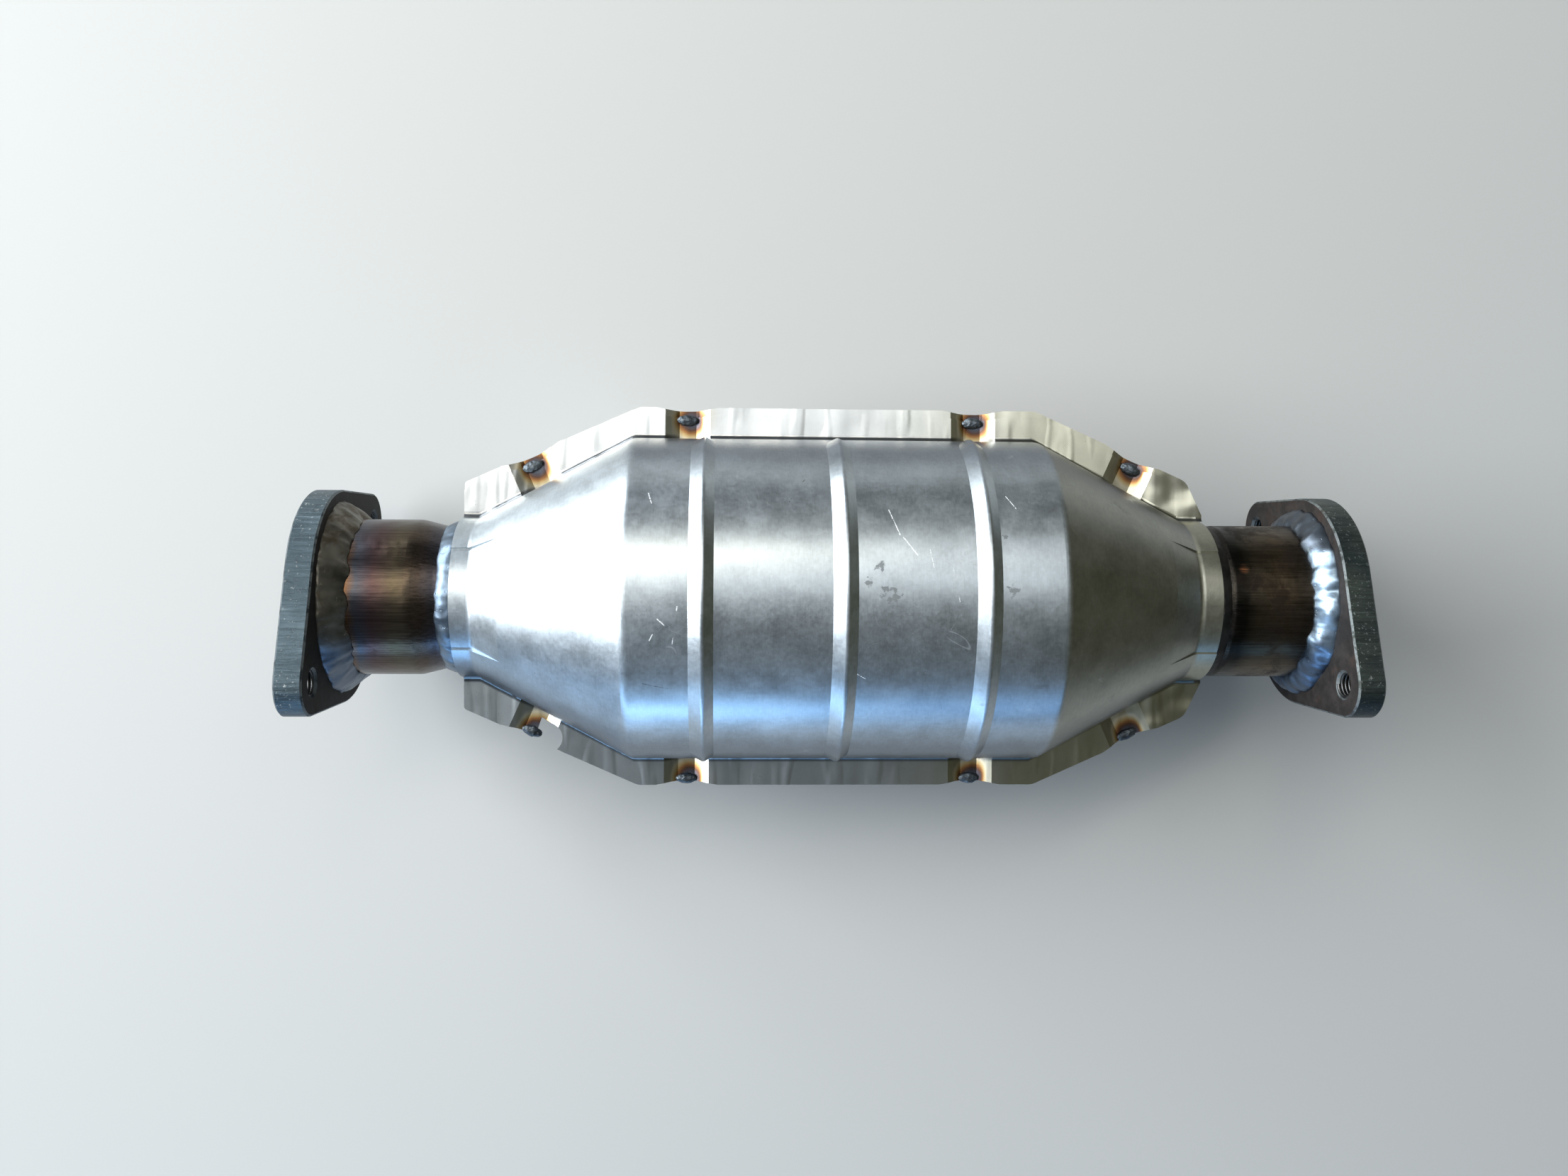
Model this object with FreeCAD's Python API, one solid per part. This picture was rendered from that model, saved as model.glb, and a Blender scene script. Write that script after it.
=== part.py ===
import FreeCAD, Part
import math
import os

# Under-floor catalytic converter with a two-half stamped heat shield and two-bolt flanges.
# Millimetres.  +X runs with the exhaust gas, +Z is up, and the origin is the centre of the
# inlet flange's gasket face.  Every station along X follows from the sizes below.

# ---- pipes and their end flanges ----
pipe_radius = 27.4            # outside of both pipe stubs
pipe_wall = 1.8
inlet_pipe_exposed = 41.7     # bare pipe between the inlet flange and the heat shield
outlet_pipe_exposed = 38.3    # bare pipe between the heat shield and the outlet flange
socket_clearance = 0.1        # radial room of the pipe in its flange
pipe_setback = 2.5            # pipe end short of the gasket face
flange_thickness = 9.3
flange_hub_radius = 37.6      # round middle of the flange plate
flange_ear_radius = 11.0      # round end about each bolt hole
bolt_circle_radius = 45.4     # pipe axis to each bolt hole
bolt_lean = 36.8              # degrees from +Z towards -Y
tapping_radius = 4.25         # core of the M10 thread
mouth_radius = 5.1            # countersink of the tapped hole, on the pipe side
flange_edge_break = 0.6       # chamfer round the cut plate

# ---- heat shield ----
sheet = 1.0                   # stamped stainless sheet of both halves
barrel_radius = 56.9
barrel_length = 142.5
inlet_collar_radius = 28.3
outlet_collar_radius = 28.95
inlet_collar_land = 6.0
outlet_collar_land = 7.2
inlet_cone_length = 54.2
outlet_cone_length = 53.5
collar_bend = 3.0             # bend radius between collar and cone
shoulder_bend = 5.0           # bend radius between cone and barrel
root_bend = 1.8               # bend radius between shell and side flange
inlet_crimp_depth = 0.7       # the collar's middle, pressed in on to the neck
outlet_crimp_depth = 0.45
crimp_from = 52.0             # degrees from +Y towards +Z
crimp_to = 128.0
crimp_run = 11.0              # how far the crimp's creases run up the cone
crimp_overrun = 2.0           # degrees that the crimp is wider on the inside of the sheet

rib_height = 2.3
rib_rise = 4.6                # upstream slope of a rib, along X
rib_fall = 3.5                # downstream slope
rib_crest_bend = 1.4
rib_root = 1.5                # the rib's slopes are drawn on to this depth under the barrel
rib_pitch = 46.0
rib_count = 3
rib_fade_from = 24.0          # degrees above the seam where a rib starts to die out
rib_fade_radius = 31.0

# ---- side flanges of the shield, one pair each side, in the seam plane ----
seam_strip = 10.1             # width of a side flange beside the barrel
seam_strip_inlet = 11.4       # the same beside the inlet collar
seam_strip_outlet = 13.25     # the same beside the outlet collar
seam_stagger = 1.2            # the halves' left edges miss each other by twice this
seam_corner_overhang = 1.5    # the seam's corners lie this far past the barrel's shoulders
outlet_tongue = 2.5           # side flange past the outlet collar
outlet_corner_cut = 6.0
seam_corner_bend = 6.0
pocket_length = 16.0          # pressed pocket that takes each tack weld
pocket_floor_length = 6.0
pocket_depth = 2.6
pocket_pull = 1.2             # how far the pocket draws the strip's edge in
pocket_pull_reach = 22.0
tack_stations = (-108.5, -52.5, 50.0, 109.0)   # along X from the middle of the barrel
tack_length = 7.6
tack_radius = 2.0
tack_lift = 0.2               # tack axis above the pocket's floor
tack_inset = 0.9              # tack axis inside the upper strip's drawn-in edge

# ---- torn-out bite in the right-hand side flange, next to the first tack ----
bite_station = -102.5         # middle of its root, along X from the middle of the barrel
bite_root_width = 4.0
bite_root_gap = 2.6           # strip left between the bite and the shell
bite_lean = 0.33              # its upstream edge leans this much upstream per unit of width
bite_bulge = 3.9              # its downstream edge bows out by this much
bite_bulge_reach = 10.0       # over this much of the strip's width
bite_reach = 20.0             # the cut runs on this far, clear past the strip's edge

# ---- gas-tight can and cones ----
can_wall = 1.5
shield_air_gap = 3.4          # between the can and the inside of the shield's barrel
cone_wall = 1.5
neck_run_in = 1.5             # each cone turns outwards this far past the collar's own bend
neck_proud = 0.8              # neck past the end of the collar
pipe_in_neck = 7.0
swage_length = 9.0            # taper that brings the inlet pipe down to its neck
outlet_swage_length = 2.5
swage_bend = 9.0
outlet_swage_bend = 1.5
skirt_clearance = 0.4         # end of each cone's skirt to the mesh seal
cone_bend = 6.0

# ---- ceramic bricks and what holds them ----
mat_thickness = 4.3           # the fibre mat's, squeezed between a brick and the can
brick_length = 58.0
brick_gap = 8.0
seal_length = 5.0             # wire-mesh ring at the outer end of each mat
spacer_wall = 6.0

# ---- weld beads ----
flange_bead_on_pipe = 6.2
flange_bead_on_plate = 5.6
flange_bead_bulge = 1.1
neck_bead_on_pipe = 4.2
neck_bead_bulge = 0.75
can_bead = 2.0
can_bead_bulge = 0.45

# ---- stations along X ----
inlet_face = 0.0
inlet_plate_back = inlet_face + flange_thickness
shield_start = inlet_plate_back + inlet_pipe_exposed
inlet_bend = shield_start + inlet_collar_land
barrel_start = inlet_bend + inlet_cone_length
barrel_end = barrel_start + barrel_length
outlet_bend = barrel_end + outlet_cone_length
shield_end = outlet_bend + outlet_collar_land
outlet_plate_back = shield_end + outlet_pipe_exposed
outlet_face = outlet_plate_back + flange_thickness
barrel_middle = (barrel_start + barrel_end) / 2.0

seam_half_width = barrel_radius + seam_strip
seam_half_width_inlet = inlet_collar_radius + seam_strip_inlet
seam_half_width_outlet = outlet_collar_radius + seam_strip_outlet
can_radius = barrel_radius - sheet - shield_air_gap
can_inner_radius = can_radius - can_wall
brick_radius = can_inner_radius - mat_thickness
inlet_neck_radius = inlet_collar_radius - sheet - inlet_crimp_depth
outlet_neck_radius = outlet_collar_radius - sheet - outlet_crimp_depth
inlet_neck_end = shield_start - neck_proud
outlet_neck_end = shield_end + neck_proud
can_start = barrel_start + can_bead
can_end = barrel_end - can_bead
front_brick_start = barrel_middle - brick_gap / 2.0 - brick_length
rear_brick_start = barrel_middle + brick_gap / 2.0

inlet_slope = (barrel_radius - inlet_collar_radius) / inlet_cone_length
outlet_slope = (barrel_radius - outlet_collar_radius) / outlet_cone_length

AXIS = FreeCAD.Vector(1, 0, 0)
ORIGIN = FreeCAD.Vector(0, 0, 0)
FAR = 400.0                   # half size of the blocks that split the model at a plane


# ---------------------------------------------------------------- drawing helpers
def point(x, y, z=0.0):
    return FreeCAD.Vector(x, y, z)


def rounded_edges(corners, radii, closed=True):
    """Straight runs joined by tangent arcs, with one radius per corner (0 keeps it sharp)."""
    count = len(corners)
    starts = []
    ends = []
    arcs = []
    for index, corner in enumerate(corners):
        radius = radii[index]
        if radius <= 0.0 or (not closed and index in (0, count - 1)):
            starts.append(corner)
            ends.append(corner)
            arcs.append(None)
            continue
        back = (corners[index - 1] - corner).normalize()
        ahead = (corners[(index + 1) % count] - corner).normalize()
        half_angle = back.getAngle(ahead) / 2.0
        trim = radius / math.tan(half_angle)
        inward = (back + ahead).normalize()
        start = corner + back * trim
        end = corner + ahead * trim
        middle = corner + inward * (radius / math.sin(half_angle) - radius)
        starts.append(start)
        ends.append(end)
        arcs.append(Part.Arc(start, middle, end).toShape())
    edges = []
    for index in range(count):
        if arcs[index] is not None:
            edges.append(arcs[index])
        if closed or index < count - 1:
            start = ends[index]
            end = starts[(index + 1) % count]
            if (end - start).Length > 1e-6:
                edges.append(Part.LineSegment(start, end).toShape())
    return edges


def outline_face(corners, radii=None):
    """A flat face inside a closed outline."""
    if radii is None:
        radii = [0.0] * len(corners)
    return Part.Face(Part.Wire(rounded_edges(corners, radii)))


def offset_right(corners, distance):
    """An open polyline in the XY plane, moved sideways to the right of its own direction."""
    normals = []
    for start, end in zip(corners[:-1], corners[1:]):
        run = (end - start).normalize()
        normals.append(point(run.y, -run.x))
    moved = [corners[0] + normals[0] * distance]
    for corner, before, after in zip(corners[1:-1], normals[:-1], normals[1:]):
        bisector = (before + after).normalize()
        moved.append(corner + bisector * (distance / bisector.dot(before)))
    moved.append(corners[-1] + normals[-1] * distance)
    return moved


def turned(face, start=0.0, sweep=360.0, centre=ORIGIN):
    """A profile drawn at (x, radius), turned about a line along X through the centre."""
    first = face.copy()
    first.rotate(centre, AXIS, start)
    return first.revolve(centre, AXIS, sweep)


def tube(outer, inner, radii_outer, radii_inner):
    """A turned sheet between two open profiles that run the same way."""
    wire_edges = rounded_edges(outer, radii_outer, closed=False)
    wire_edges += rounded_edges(inner, radii_inner, closed=False)
    wire_edges.append(Part.LineSegment(outer[0], inner[0]).toShape())
    wire_edges.append(Part.LineSegment(outer[-1], inner[-1]).toShape())
    ordered = Part.__sortEdges__(wire_edges)
    return turned(Part.Face(Part.Wire(ordered)))


def ring(start, end, outer_radius, inner_radius):
    """A plain turned ring."""
    corners = [
        point(start, inner_radius),
        point(start, outer_radius),
        point(end, outer_radius),
        point(end, inner_radius),
    ]
    return turned(outline_face(corners))


def above_seam(shape):
    """What lies above the seam plane."""
    return shape.common(Part.makeBox(2 * FAR, 2 * FAR, FAR, point(-FAR / 2, -FAR)))


def mirrored_down(shape):
    """The same shape on the other side of the seam plane."""
    return shape.mirror(ORIGIN, point(0, 0, 1))


# ---------------------------------------------------------------- flanges
def flange_outline(x):
    """Round hub and two ears joined by tangents, in the plane at x."""
    spread = math.degrees(math.acos((flange_hub_radius - flange_ear_radius) / bolt_circle_radius))
    first_ear = 90.0 + bolt_lean

    def at(angle, centre_distance, centre_angle, radius):
        centre_y = centre_distance * math.cos(math.radians(centre_angle))
        centre_z = centre_distance * math.sin(math.radians(centre_angle))
        y = centre_y + radius * math.cos(math.radians(angle))
        z = centre_z + radius * math.sin(math.radians(angle))
        return point(x, y, z)

    edges = []
    for ear in (first_ear, first_ear + 180.0):
        ear_start = at(ear - spread, bolt_circle_radius, ear, flange_ear_radius)
        ear_tip = at(ear, bolt_circle_radius, ear, flange_ear_radius)
        ear_end = at(ear + spread, bolt_circle_radius, ear, flange_ear_radius)
        hub_start = at(ear + spread, 0.0, 0.0, flange_hub_radius)
        hub_middle = at(ear + 90.0, 0.0, 0.0, flange_hub_radius)
        hub_end = at(ear + 180.0 - spread, 0.0, 0.0, flange_hub_radius)
        next_start = at(ear + 180.0 - spread, bolt_circle_radius, ear + 180.0, flange_ear_radius)
        edges.append(Part.Arc(ear_start, ear_tip, ear_end).toShape())
        edges.append(Part.LineSegment(ear_end, hub_start).toShape())
        edges.append(Part.Arc(hub_start, hub_middle, hub_end).toShape())
        edges.append(Part.LineSegment(hub_end, next_start).toShape())
    return Part.Wire(edges)


def bolt_hole(gasket_face, inward, angle):
    """A tapped hole through the plate, countersunk where it opens towards the pipe."""
    mouth = mouth_radius - tapping_radius
    past = 1.0
    plate_back = gasket_face + inward * flange_thickness
    corners = [
        point(gasket_face - inward * past, 0),
        point(gasket_face - inward * past, tapping_radius),
        point(plate_back - inward * mouth, tapping_radius),
        point(plate_back + inward * past, mouth_radius + past),
        point(plate_back + inward * past, 0),
    ]
    hole = turned(outline_face(corners))
    y = bolt_circle_radius * math.cos(math.radians(angle))
    z = bolt_circle_radius * math.sin(math.radians(angle))
    hole.translate(point(0, y, z))
    return hole


def flange(gasket_face, inward):
    """Two-bolt plate; inward is 1 or -1, from the gasket face towards the pipe."""
    thickness = point(inward * flange_thickness, 0, 0)
    plate = Part.Face(flange_outline(gasket_face)).extrude(thickness)
    rim = []
    for edge in plate.Edges:
        if edge.BoundBox.XLength < 1e-6:
            rim.append(edge)
    plate = plate.makeChamfer(flange_edge_break, rim)
    past = 1.0
    socket_start = min(gasket_face, gasket_face + inward * flange_thickness) - past
    socket_radius = pipe_radius + socket_clearance
    socket = Part.makeCylinder(
        socket_radius, flange_thickness + 2 * past, point(socket_start, 0), AXIS
    )
    plate = plate.cut(socket)
    for ear in (90.0 + bolt_lean, 270.0 + bolt_lean):
        plate = plate.cut(bolt_hole(gasket_face, inward, ear))
    return plate


# ---------------------------------------------------------------- pipes
def inlet_pipe():
    neck_bore = inlet_neck_radius - cone_wall
    swage_end = inlet_neck_end - neck_bead_on_pipe
    outer = [
        point(inlet_face + pipe_setback, pipe_radius),
        point(swage_end - swage_length, pipe_radius),
        point(swage_end, neck_bore),
        point(inlet_neck_end + pipe_in_neck, neck_bore),
    ]
    inner = offset_right(outer, pipe_wall)
    bends = [0, swage_bend, swage_bend - pipe_wall, 0]
    inner_bends = [0, swage_bend - pipe_wall, swage_bend, 0]
    return tube(outer, inner, bends, inner_bends)


def outlet_pipe():
    neck_bore = outlet_neck_radius - cone_wall
    swage_start = outlet_neck_end + neck_bead_on_pipe - outlet_swage_length
    outer = [
        point(outlet_neck_end - pipe_in_neck, neck_bore),
        point(swage_start, neck_bore),
        point(swage_start + outlet_swage_length, pipe_radius),
        point(outlet_face - pipe_setback, pipe_radius),
    ]
    inner = offset_right(outer, pipe_wall)
    bends = [0, outlet_swage_bend, outlet_swage_bend, 0]
    return tube(outer, inner, bends, bends)


# ---------------------------------------------------------------- gas-tight cones and can
def cone(neck_end, bend, neck_radius, shoulder, skirt_end):
    """Spun cone: neck, slope and a straight skirt inside the can, for either end."""
    along = 1.0 if shoulder > neck_end else -1.0
    outer = [
        point(neck_end, neck_radius),
        point(bend, neck_radius),
        point(shoulder, can_inner_radius),
        point(skirt_end, can_inner_radius),
    ]
    inner = offset_right(outer, along * cone_wall)
    bends = [0, cone_bend, cone_bend, 0]
    return tube(outer, inner, bends, bends)


def inlet_cone():
    bend = inlet_bend + neck_run_in
    skirt_end = front_brick_start - skirt_clearance
    return cone(inlet_neck_end, bend, inlet_neck_radius, barrel_start, skirt_end)


def outlet_cone():
    bend = outlet_bend - neck_run_in
    skirt_end = rear_brick_start + brick_length + skirt_clearance
    return cone(outlet_neck_end, bend, outlet_neck_radius, barrel_end, skirt_end)


# ---------------------------------------------------------------- bricks, mats, rings
def bricks():
    front = Part.makeCylinder(brick_radius, brick_length, point(front_brick_start, 0), AXIS)
    rear = Part.makeCylinder(brick_radius, brick_length, point(rear_brick_start, 0), AXIS)
    return front, rear


def mats():
    front_start = front_brick_start + seal_length
    front = ring(front_start, front_brick_start + brick_length, can_inner_radius, brick_radius)
    rear_end = rear_brick_start + brick_length - seal_length
    rear = ring(rear_brick_start, rear_end, can_inner_radius, brick_radius)
    return front, rear


def seals():
    front = ring(
        front_brick_start, front_brick_start + seal_length, can_inner_radius, brick_radius
    )
    rear_end = rear_brick_start + brick_length
    rear = ring(rear_end - seal_length, rear_end, can_inner_radius, brick_radius)
    return front, rear


def brick_spacer():
    start = front_brick_start + brick_length
    return ring(start, start + brick_gap, can_inner_radius, can_inner_radius - spacer_wall)


# ---------------------------------------------------------------- weld beads
def bead(toe_a, toe_b, seat, bulge):
    """A turned bead: a bowed face from toe to toe, and flat seats back through the corners."""
    chord = toe_b - toe_a
    out = point(-chord.y, chord.x).normalize()
    seat_middle = (toe_a + toe_b) * 0.5 - seat[0]
    if out.dot(seat_middle) < 0:
        out = out * -1
    crown = (toe_a + toe_b) * 0.5 + out * bulge
    edges = [Part.Arc(toe_a, crown, toe_b).toShape()]
    stops = [toe_b] + list(seat) + [toe_a]
    for start, end in zip(stops[:-1], stops[1:]):
        edges.append(Part.LineSegment(start, end).toShape())
    return turned(Part.Face(Part.Wire(edges)))


def flange_bead(plate_back, away):
    """Fillet weld between the back of a flange and its pipe."""
    socket_radius = pipe_radius + socket_clearance
    on_plate = point(plate_back, socket_radius + flange_bead_on_plate)
    on_pipe = point(plate_back + away * flange_bead_on_pipe, pipe_radius)
    corner = point(plate_back, pipe_radius)
    return bead(on_plate, on_pipe, [corner], flange_bead_bulge)


def neck_bead(neck_end, away, neck_radius, pipe_radius_there):
    """Weld that laps from the pipe on to the end of a cone's neck."""
    lap = neck_proud * 0.85
    on_pipe = point(neck_end + away * neck_bead_on_pipe, pipe_radius_there)
    on_neck = point(neck_end - away * lap, neck_radius)
    edge = point(neck_end, neck_radius)
    bore = point(neck_end, neck_radius - cone_wall)
    return bead(on_neck, on_pipe, [bore, edge], neck_bead_bulge)


def inlet_neck_bead():
    blank = neck_bead(inlet_neck_end, -1.0, inlet_neck_radius, inlet_neck_radius - cone_wall)
    return blank.cut(inlet_pipe())


def outlet_neck_bead():
    blank = neck_bead(outlet_neck_end, 1.0, outlet_neck_radius, pipe_radius)
    return blank.cut(outlet_pipe())


def can_bead_ring(edge, away, joined_cone):
    """Lap weld round the end of the can, on the shoulder of a cone."""
    on_can = point(edge, can_radius)
    under = point(edge, can_inner_radius - cone_wall / 2.0)
    on_cone = point(edge + away * can_bead, can_inner_radius - cone_wall / 2.0)
    return bead(on_can, on_cone, [under], can_bead_bulge).cut(joined_cone)


# ---------------------------------------------------------------- heat shield
def shield_line():
    """The shield's outer profile, from the inlet collar to the outlet collar."""
    return [
        point(shield_start, inlet_collar_radius),
        point(inlet_bend, inlet_collar_radius),
        point(barrel_start, barrel_radius),
        point(barrel_end, barrel_radius),
        point(outlet_bend, outlet_collar_radius),
        point(shield_end, outlet_collar_radius),
    ]


def shield_body(depth, run_on, start, sweep):
    """The round body under the sheet at this depth, run on past both collars."""
    line = offset_right(shield_line(), depth)
    line[0] = line[0] - point(run_on, 0)
    line[-1] = line[-1] + point(run_on, 0)
    bends = [0, collar_bend + depth, shoulder_bend - depth, shoulder_bend - depth,
             collar_bend + depth, 0, 0, 0]
    corners = line + [point(line[-1].x, 0), point(line[0].x, 0)]
    return turned(outline_face(corners, bends), start, sweep)


def rib_bodies(depth):
    """The pressed ribs: full height over the top, dying out before the seam on both sides."""
    root = 1.0 + rib_root / rib_height
    fade_y = (barrel_radius + rib_height - rib_fade_radius) * math.cos(math.radians(rib_fade_from))
    fade_z = (barrel_radius + rib_height - rib_fade_radius) * math.sin(math.radians(rib_fade_from))
    fade_turn = rib_fade_from + 30.0
    solids = []
    for index in range(rib_count):
        crest = barrel_middle + (index - (rib_count - 1) / 2.0) * rib_pitch
        foot = barrel_radius - depth
        corners = [
            point(crest - rib_rise * root, foot - rib_root),
            point(crest, foot + rib_height),
            point(crest + rib_fall * root, foot - rib_root),
        ]
        section = outline_face(corners, [0, rib_crest_bend, 0])
        crown = turned(section, rib_fade_from, 180.0 - 2 * rib_fade_from)
        left = section.copy()
        left.rotate(ORIGIN, AXIS, rib_fade_from)
        left = left.revolve(point(0, fade_y, fade_z), AXIS, -fade_turn)
        right = section.copy()
        right.rotate(ORIGIN, AXIS, 180.0 - rib_fade_from)
        right = right.revolve(point(0, -fade_y, fade_z), AXIS, fade_turn)
        solids.append(above_seam(crown.fuse([left, right])))
    return solids


def crimp_cutters(depth, widen):
    """What lies outside the two pressed-in collar sectors, at this depth in the sheet."""
    past = 2.0
    high = 9.0
    solids = []
    ends = (
        (shield_start, 1.0, inlet_bend, inlet_collar_radius, inlet_slope, inlet_crimp_depth),
        (shield_end, -1.0, outlet_bend, outlet_collar_radius, outlet_slope, outlet_crimp_depth),
    )
    for end, along, bend, radius, slope, press in ends:
        crimped = radius - press
        foot = bend + along * press
        top = bend + along * crimp_run
        top_radius = radius + slope * crimp_run
        beyond = past / crimp_run
        line = [
            point(end - along * past, crimped),
            point(foot, crimped),
            point(top + beyond * (top - foot), top_radius + beyond * (top_radius - crimped)),
        ]
        line = offset_right(line, along * depth)
        corners = line + [
            point(line[2].x, line[2].y + high),
            point(line[0].x, line[2].y + high),
        ]
        section = outline_face(corners, [0, collar_bend + depth, 0, 0, 0])
        sweep = crimp_to - crimp_from + 2 * widen
        solids.append(turned(section, crimp_from - widen, sweep))
    return solids


def seam_outline(left_shift):
    """One side flange outline: its left half is moved outwards by left_shift."""
    corner_start = barrel_start + seam_corner_overhang
    corner_end = barrel_end + seam_corner_overhang
    tongue = shield_end + outlet_tongue
    half = [
        (shield_start, seam_half_width_inlet, 1.5),
        (corner_start, seam_half_width, seam_corner_bend),
        (corner_end, seam_half_width, seam_corner_bend),
        (tongue - outlet_corner_cut, seam_half_width_outlet, seam_corner_bend),
        (tongue, outlet_collar_radius + sheet, 1.5),
    ]
    left = [(point(x, y + left_shift), bend) for x, y, bend in half]
    right = [(point(x, -y), bend) for x, y, bend in reversed(half)]
    return left, right


def seam_edge_at(x, side, left_shift):
    """The point and the direction of the seam's outer edge at x, on the left (1) or right (-1)."""
    left, right = seam_outline(left_shift)
    run = [corner for corner, bend in left]
    if side < 0:
        run = [corner for corner, bend in reversed(right)]
    for start, end in zip(run[:-1], run[1:]):
        if start.x <= x <= end.x:
            share = (x - start.x) / (end.x - start.x)
            return start + (end - start) * share, (end - start).normalize()
    raise ValueError("station off the seam")


def pocket_places(left_shift):
    """Edge point, edge direction and side of all eight tack pockets."""
    places = []
    for side in (1.0, -1.0):
        for station in tack_stations:
            edge, direction = seam_edge_at(barrel_middle + station, side, left_shift)
            places.append((edge, direction, side))
    return places


def placed_on_edge(shape, edge, direction):
    """A shape drawn at the origin along X, set at an edge point along the edge."""
    angle = math.degrees(math.atan2(direction.y, direction.x))
    moved = shape.copy()
    moved.rotate(ORIGIN, point(0, 0, 1), angle)
    moved.translate(edge)
    return moved


def seam_plate(low, high, left_shift):
    """Both side flanges of one half, still joined across the middle, with drawn-in edges."""
    left, right = seam_outline(left_shift)
    corners = [corner for corner, bend in left + right]
    bends = [bend for corner, bend in left + right]
    face = outline_face(corners, bends)
    plate = face.extrude(point(0, 0, high - low))
    plate.translate(point(0, 0, low))
    reach = pocket_pull_reach / 2.0
    pull_radius = (reach * reach + pocket_pull * pocket_pull) / (2.0 * pocket_pull)
    for edge, direction, side in pocket_places(left_shift):
        scoop = Part.makeCylinder(pull_radius, high - low, point(0, 0, low))
        scoop.translate(point(0, side * (pull_radius - pocket_pull), 0))
        plate = plate.cut(placed_on_edge(scoop, edge, direction))
    return plate


def pocket_prisms(level, keep_clear, left_shift):
    """The hollows of the pressed pockets below this level, clear of the round shell."""
    reach_in = 26.0
    reach_out = 8.0
    above = 3.0
    half = pocket_length / 2.0
    floor_half = pocket_floor_length / 2.0
    corners = [
        point(-half, 0, level + above),
        point(-half, 0, level),
        point(-floor_half, 0, level - pocket_depth),
        point(floor_half, 0, level - pocket_depth),
        point(half, 0, level),
        point(half, 0, level + above),
    ]
    solids = []
    for edge, direction, side in pocket_places(left_shift):
        section = outline_face(corners)
        section.translate(point(0, side * reach_out, 0))
        prism = section.extrude(point(0, -side * (reach_in + reach_out), 0))
        placed = placed_on_edge(prism, edge, direction)
        solids.append(placed.cut(keep_clear))
    return solids


def seam_bite():
    """The torn-out piece of the right-hand side flange."""
    root = barrel_middle + bite_station
    shell = inlet_collar_radius + (root - inlet_bend) * inlet_slope
    root_y = -(shell + bite_root_gap)
    upstream = point(root - bite_root_width / 2.0, root_y)
    downstream = point(root + bite_root_width / 2.0, root_y - bite_root_width * inlet_slope)
    upstream_out = upstream + point(-bite_lean * bite_reach, -bite_reach)
    downstream_out = downstream + point(0, -bite_reach)
    hook = downstream + point(0, -bite_bulge_reach)
    bow = downstream + point(bite_bulge, -bite_bulge_reach / 2.0)
    edges = [
        Part.LineSegment(upstream_out, upstream).toShape(),
        Part.LineSegment(upstream, downstream).toShape(),
        Part.Arc(downstream, bow, hook).toShape(),
        Part.LineSegment(hook, downstream_out).toShape(),
        Part.LineSegment(downstream_out, upstream_out).toShape(),
    ]
    deep = 2.0 * (pocket_depth + sheet)
    blank = Part.Face(Part.Wire(edges)).extrude(point(0, 0, 2 * deep))
    blank.translate(point(0, 0, -deep))
    return blank


def root_edges(body):
    """The edges where the shell stands on the side flanges."""
    edges = []
    for edge in body.Edges:
        box = edge.BoundBox
        flat = box.ZLength < 1e-3 and abs(box.ZMin - sheet) < 1e-3
        middle = edge.valueAt((edge.FirstParameter + edge.LastParameter) / 2.0)
        if flat and abs(abs(middle.y) - shell_radius_at(middle.x)) < sheet:
            edges.append(edge)
    return edges


def shell_radius_at(x):
    """Outside radius of the shield's plain profile at x."""
    line = shield_line()
    for start, end in zip(line[:-1], line[1:]):
        if start.x - 1e-6 <= x <= end.x + 1e-6:
            share = (x - start.x) / (end.x - start.x)
            return start.y + (end.y - start.y) * share
    return math.inf


def parted_between_ribs(shape):
    """The same solid with its long faces parted half-way between the ribs."""
    stops = [-FAR]
    for index in range(1, rib_count):
        stops.append(barrel_middle + (index - rib_count / 2.0) * rib_pitch)
    stops.append(FAR)
    lengths = []
    for start, end in zip(stops[:-1], stops[1:]):
        block = Part.makeBox(end - start, 2 * FAR, 2 * FAR, point(start, -FAR, -FAR))
        lengths.append(shape.common(block))
    return lengths[0].fuse(lengths[1:])


def heat_shields():
    """Both stamped halves: shell, ribs, crimped collars, side flanges and tack pockets."""
    whole = shield_body(0.0, 0.0, 0.0, 360.0)
    past_seam = 15.0              # degrees that the hollow is turned on past the seam
    upper_outline = seam_plate(-pocket_depth - sheet, sheet, -seam_stagger)
    lower_outline = seam_plate(-pocket_depth - 2 * sheet, 0.0, seam_stagger)
    bite = seam_bite()

    def half(outline_shift):
        plate = seam_plate(0.0, sheet, outline_shift)
        body = shield_body(0.0, 0.0, 0.0, 180.0).fuse(plate).removeSplitter()
        body = body.makeFillet(root_bend, root_edges(body))
        body = body.fuse(rib_bodies(0.0))
        body = body.cut(crimp_cutters(0.0, 0.0))
        run_on = outlet_tongue + sheet
        hollow = shield_body(sheet, run_on, -past_seam, 180.0 + 2 * past_seam)
        hollow = hollow.fuse(rib_bodies(sheet)).cut(crimp_cutters(sheet, crimp_overrun))
        past_collar = Part.makeCylinder(
            outlet_collar_radius, 2 * outlet_tongue, point(shield_end, 0, 0), AXIS
        )
        return body.cut([hollow, past_collar])

    top_grooves = pocket_prisms(sheet, whole, 0.0)
    middle_grooves = pocket_prisms(0.0, whole, 0.0)
    low_grooves = pocket_prisms(-sheet, whole, 0.0)

    upper = half(-seam_stagger)
    upper = upper.fuse([groove.common(upper_outline) for groove in middle_grooves])
    upper = upper.cut(top_grooves).cut(bite)

    lower = mirrored_down(half(seam_stagger))
    lower = lower.fuse([groove.common(lower_outline) for groove in low_grooves])
    lower = lower.cut(middle_grooves).cut(bite)
    return parted_between_ribs(upper), parted_between_ribs(lower)


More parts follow.
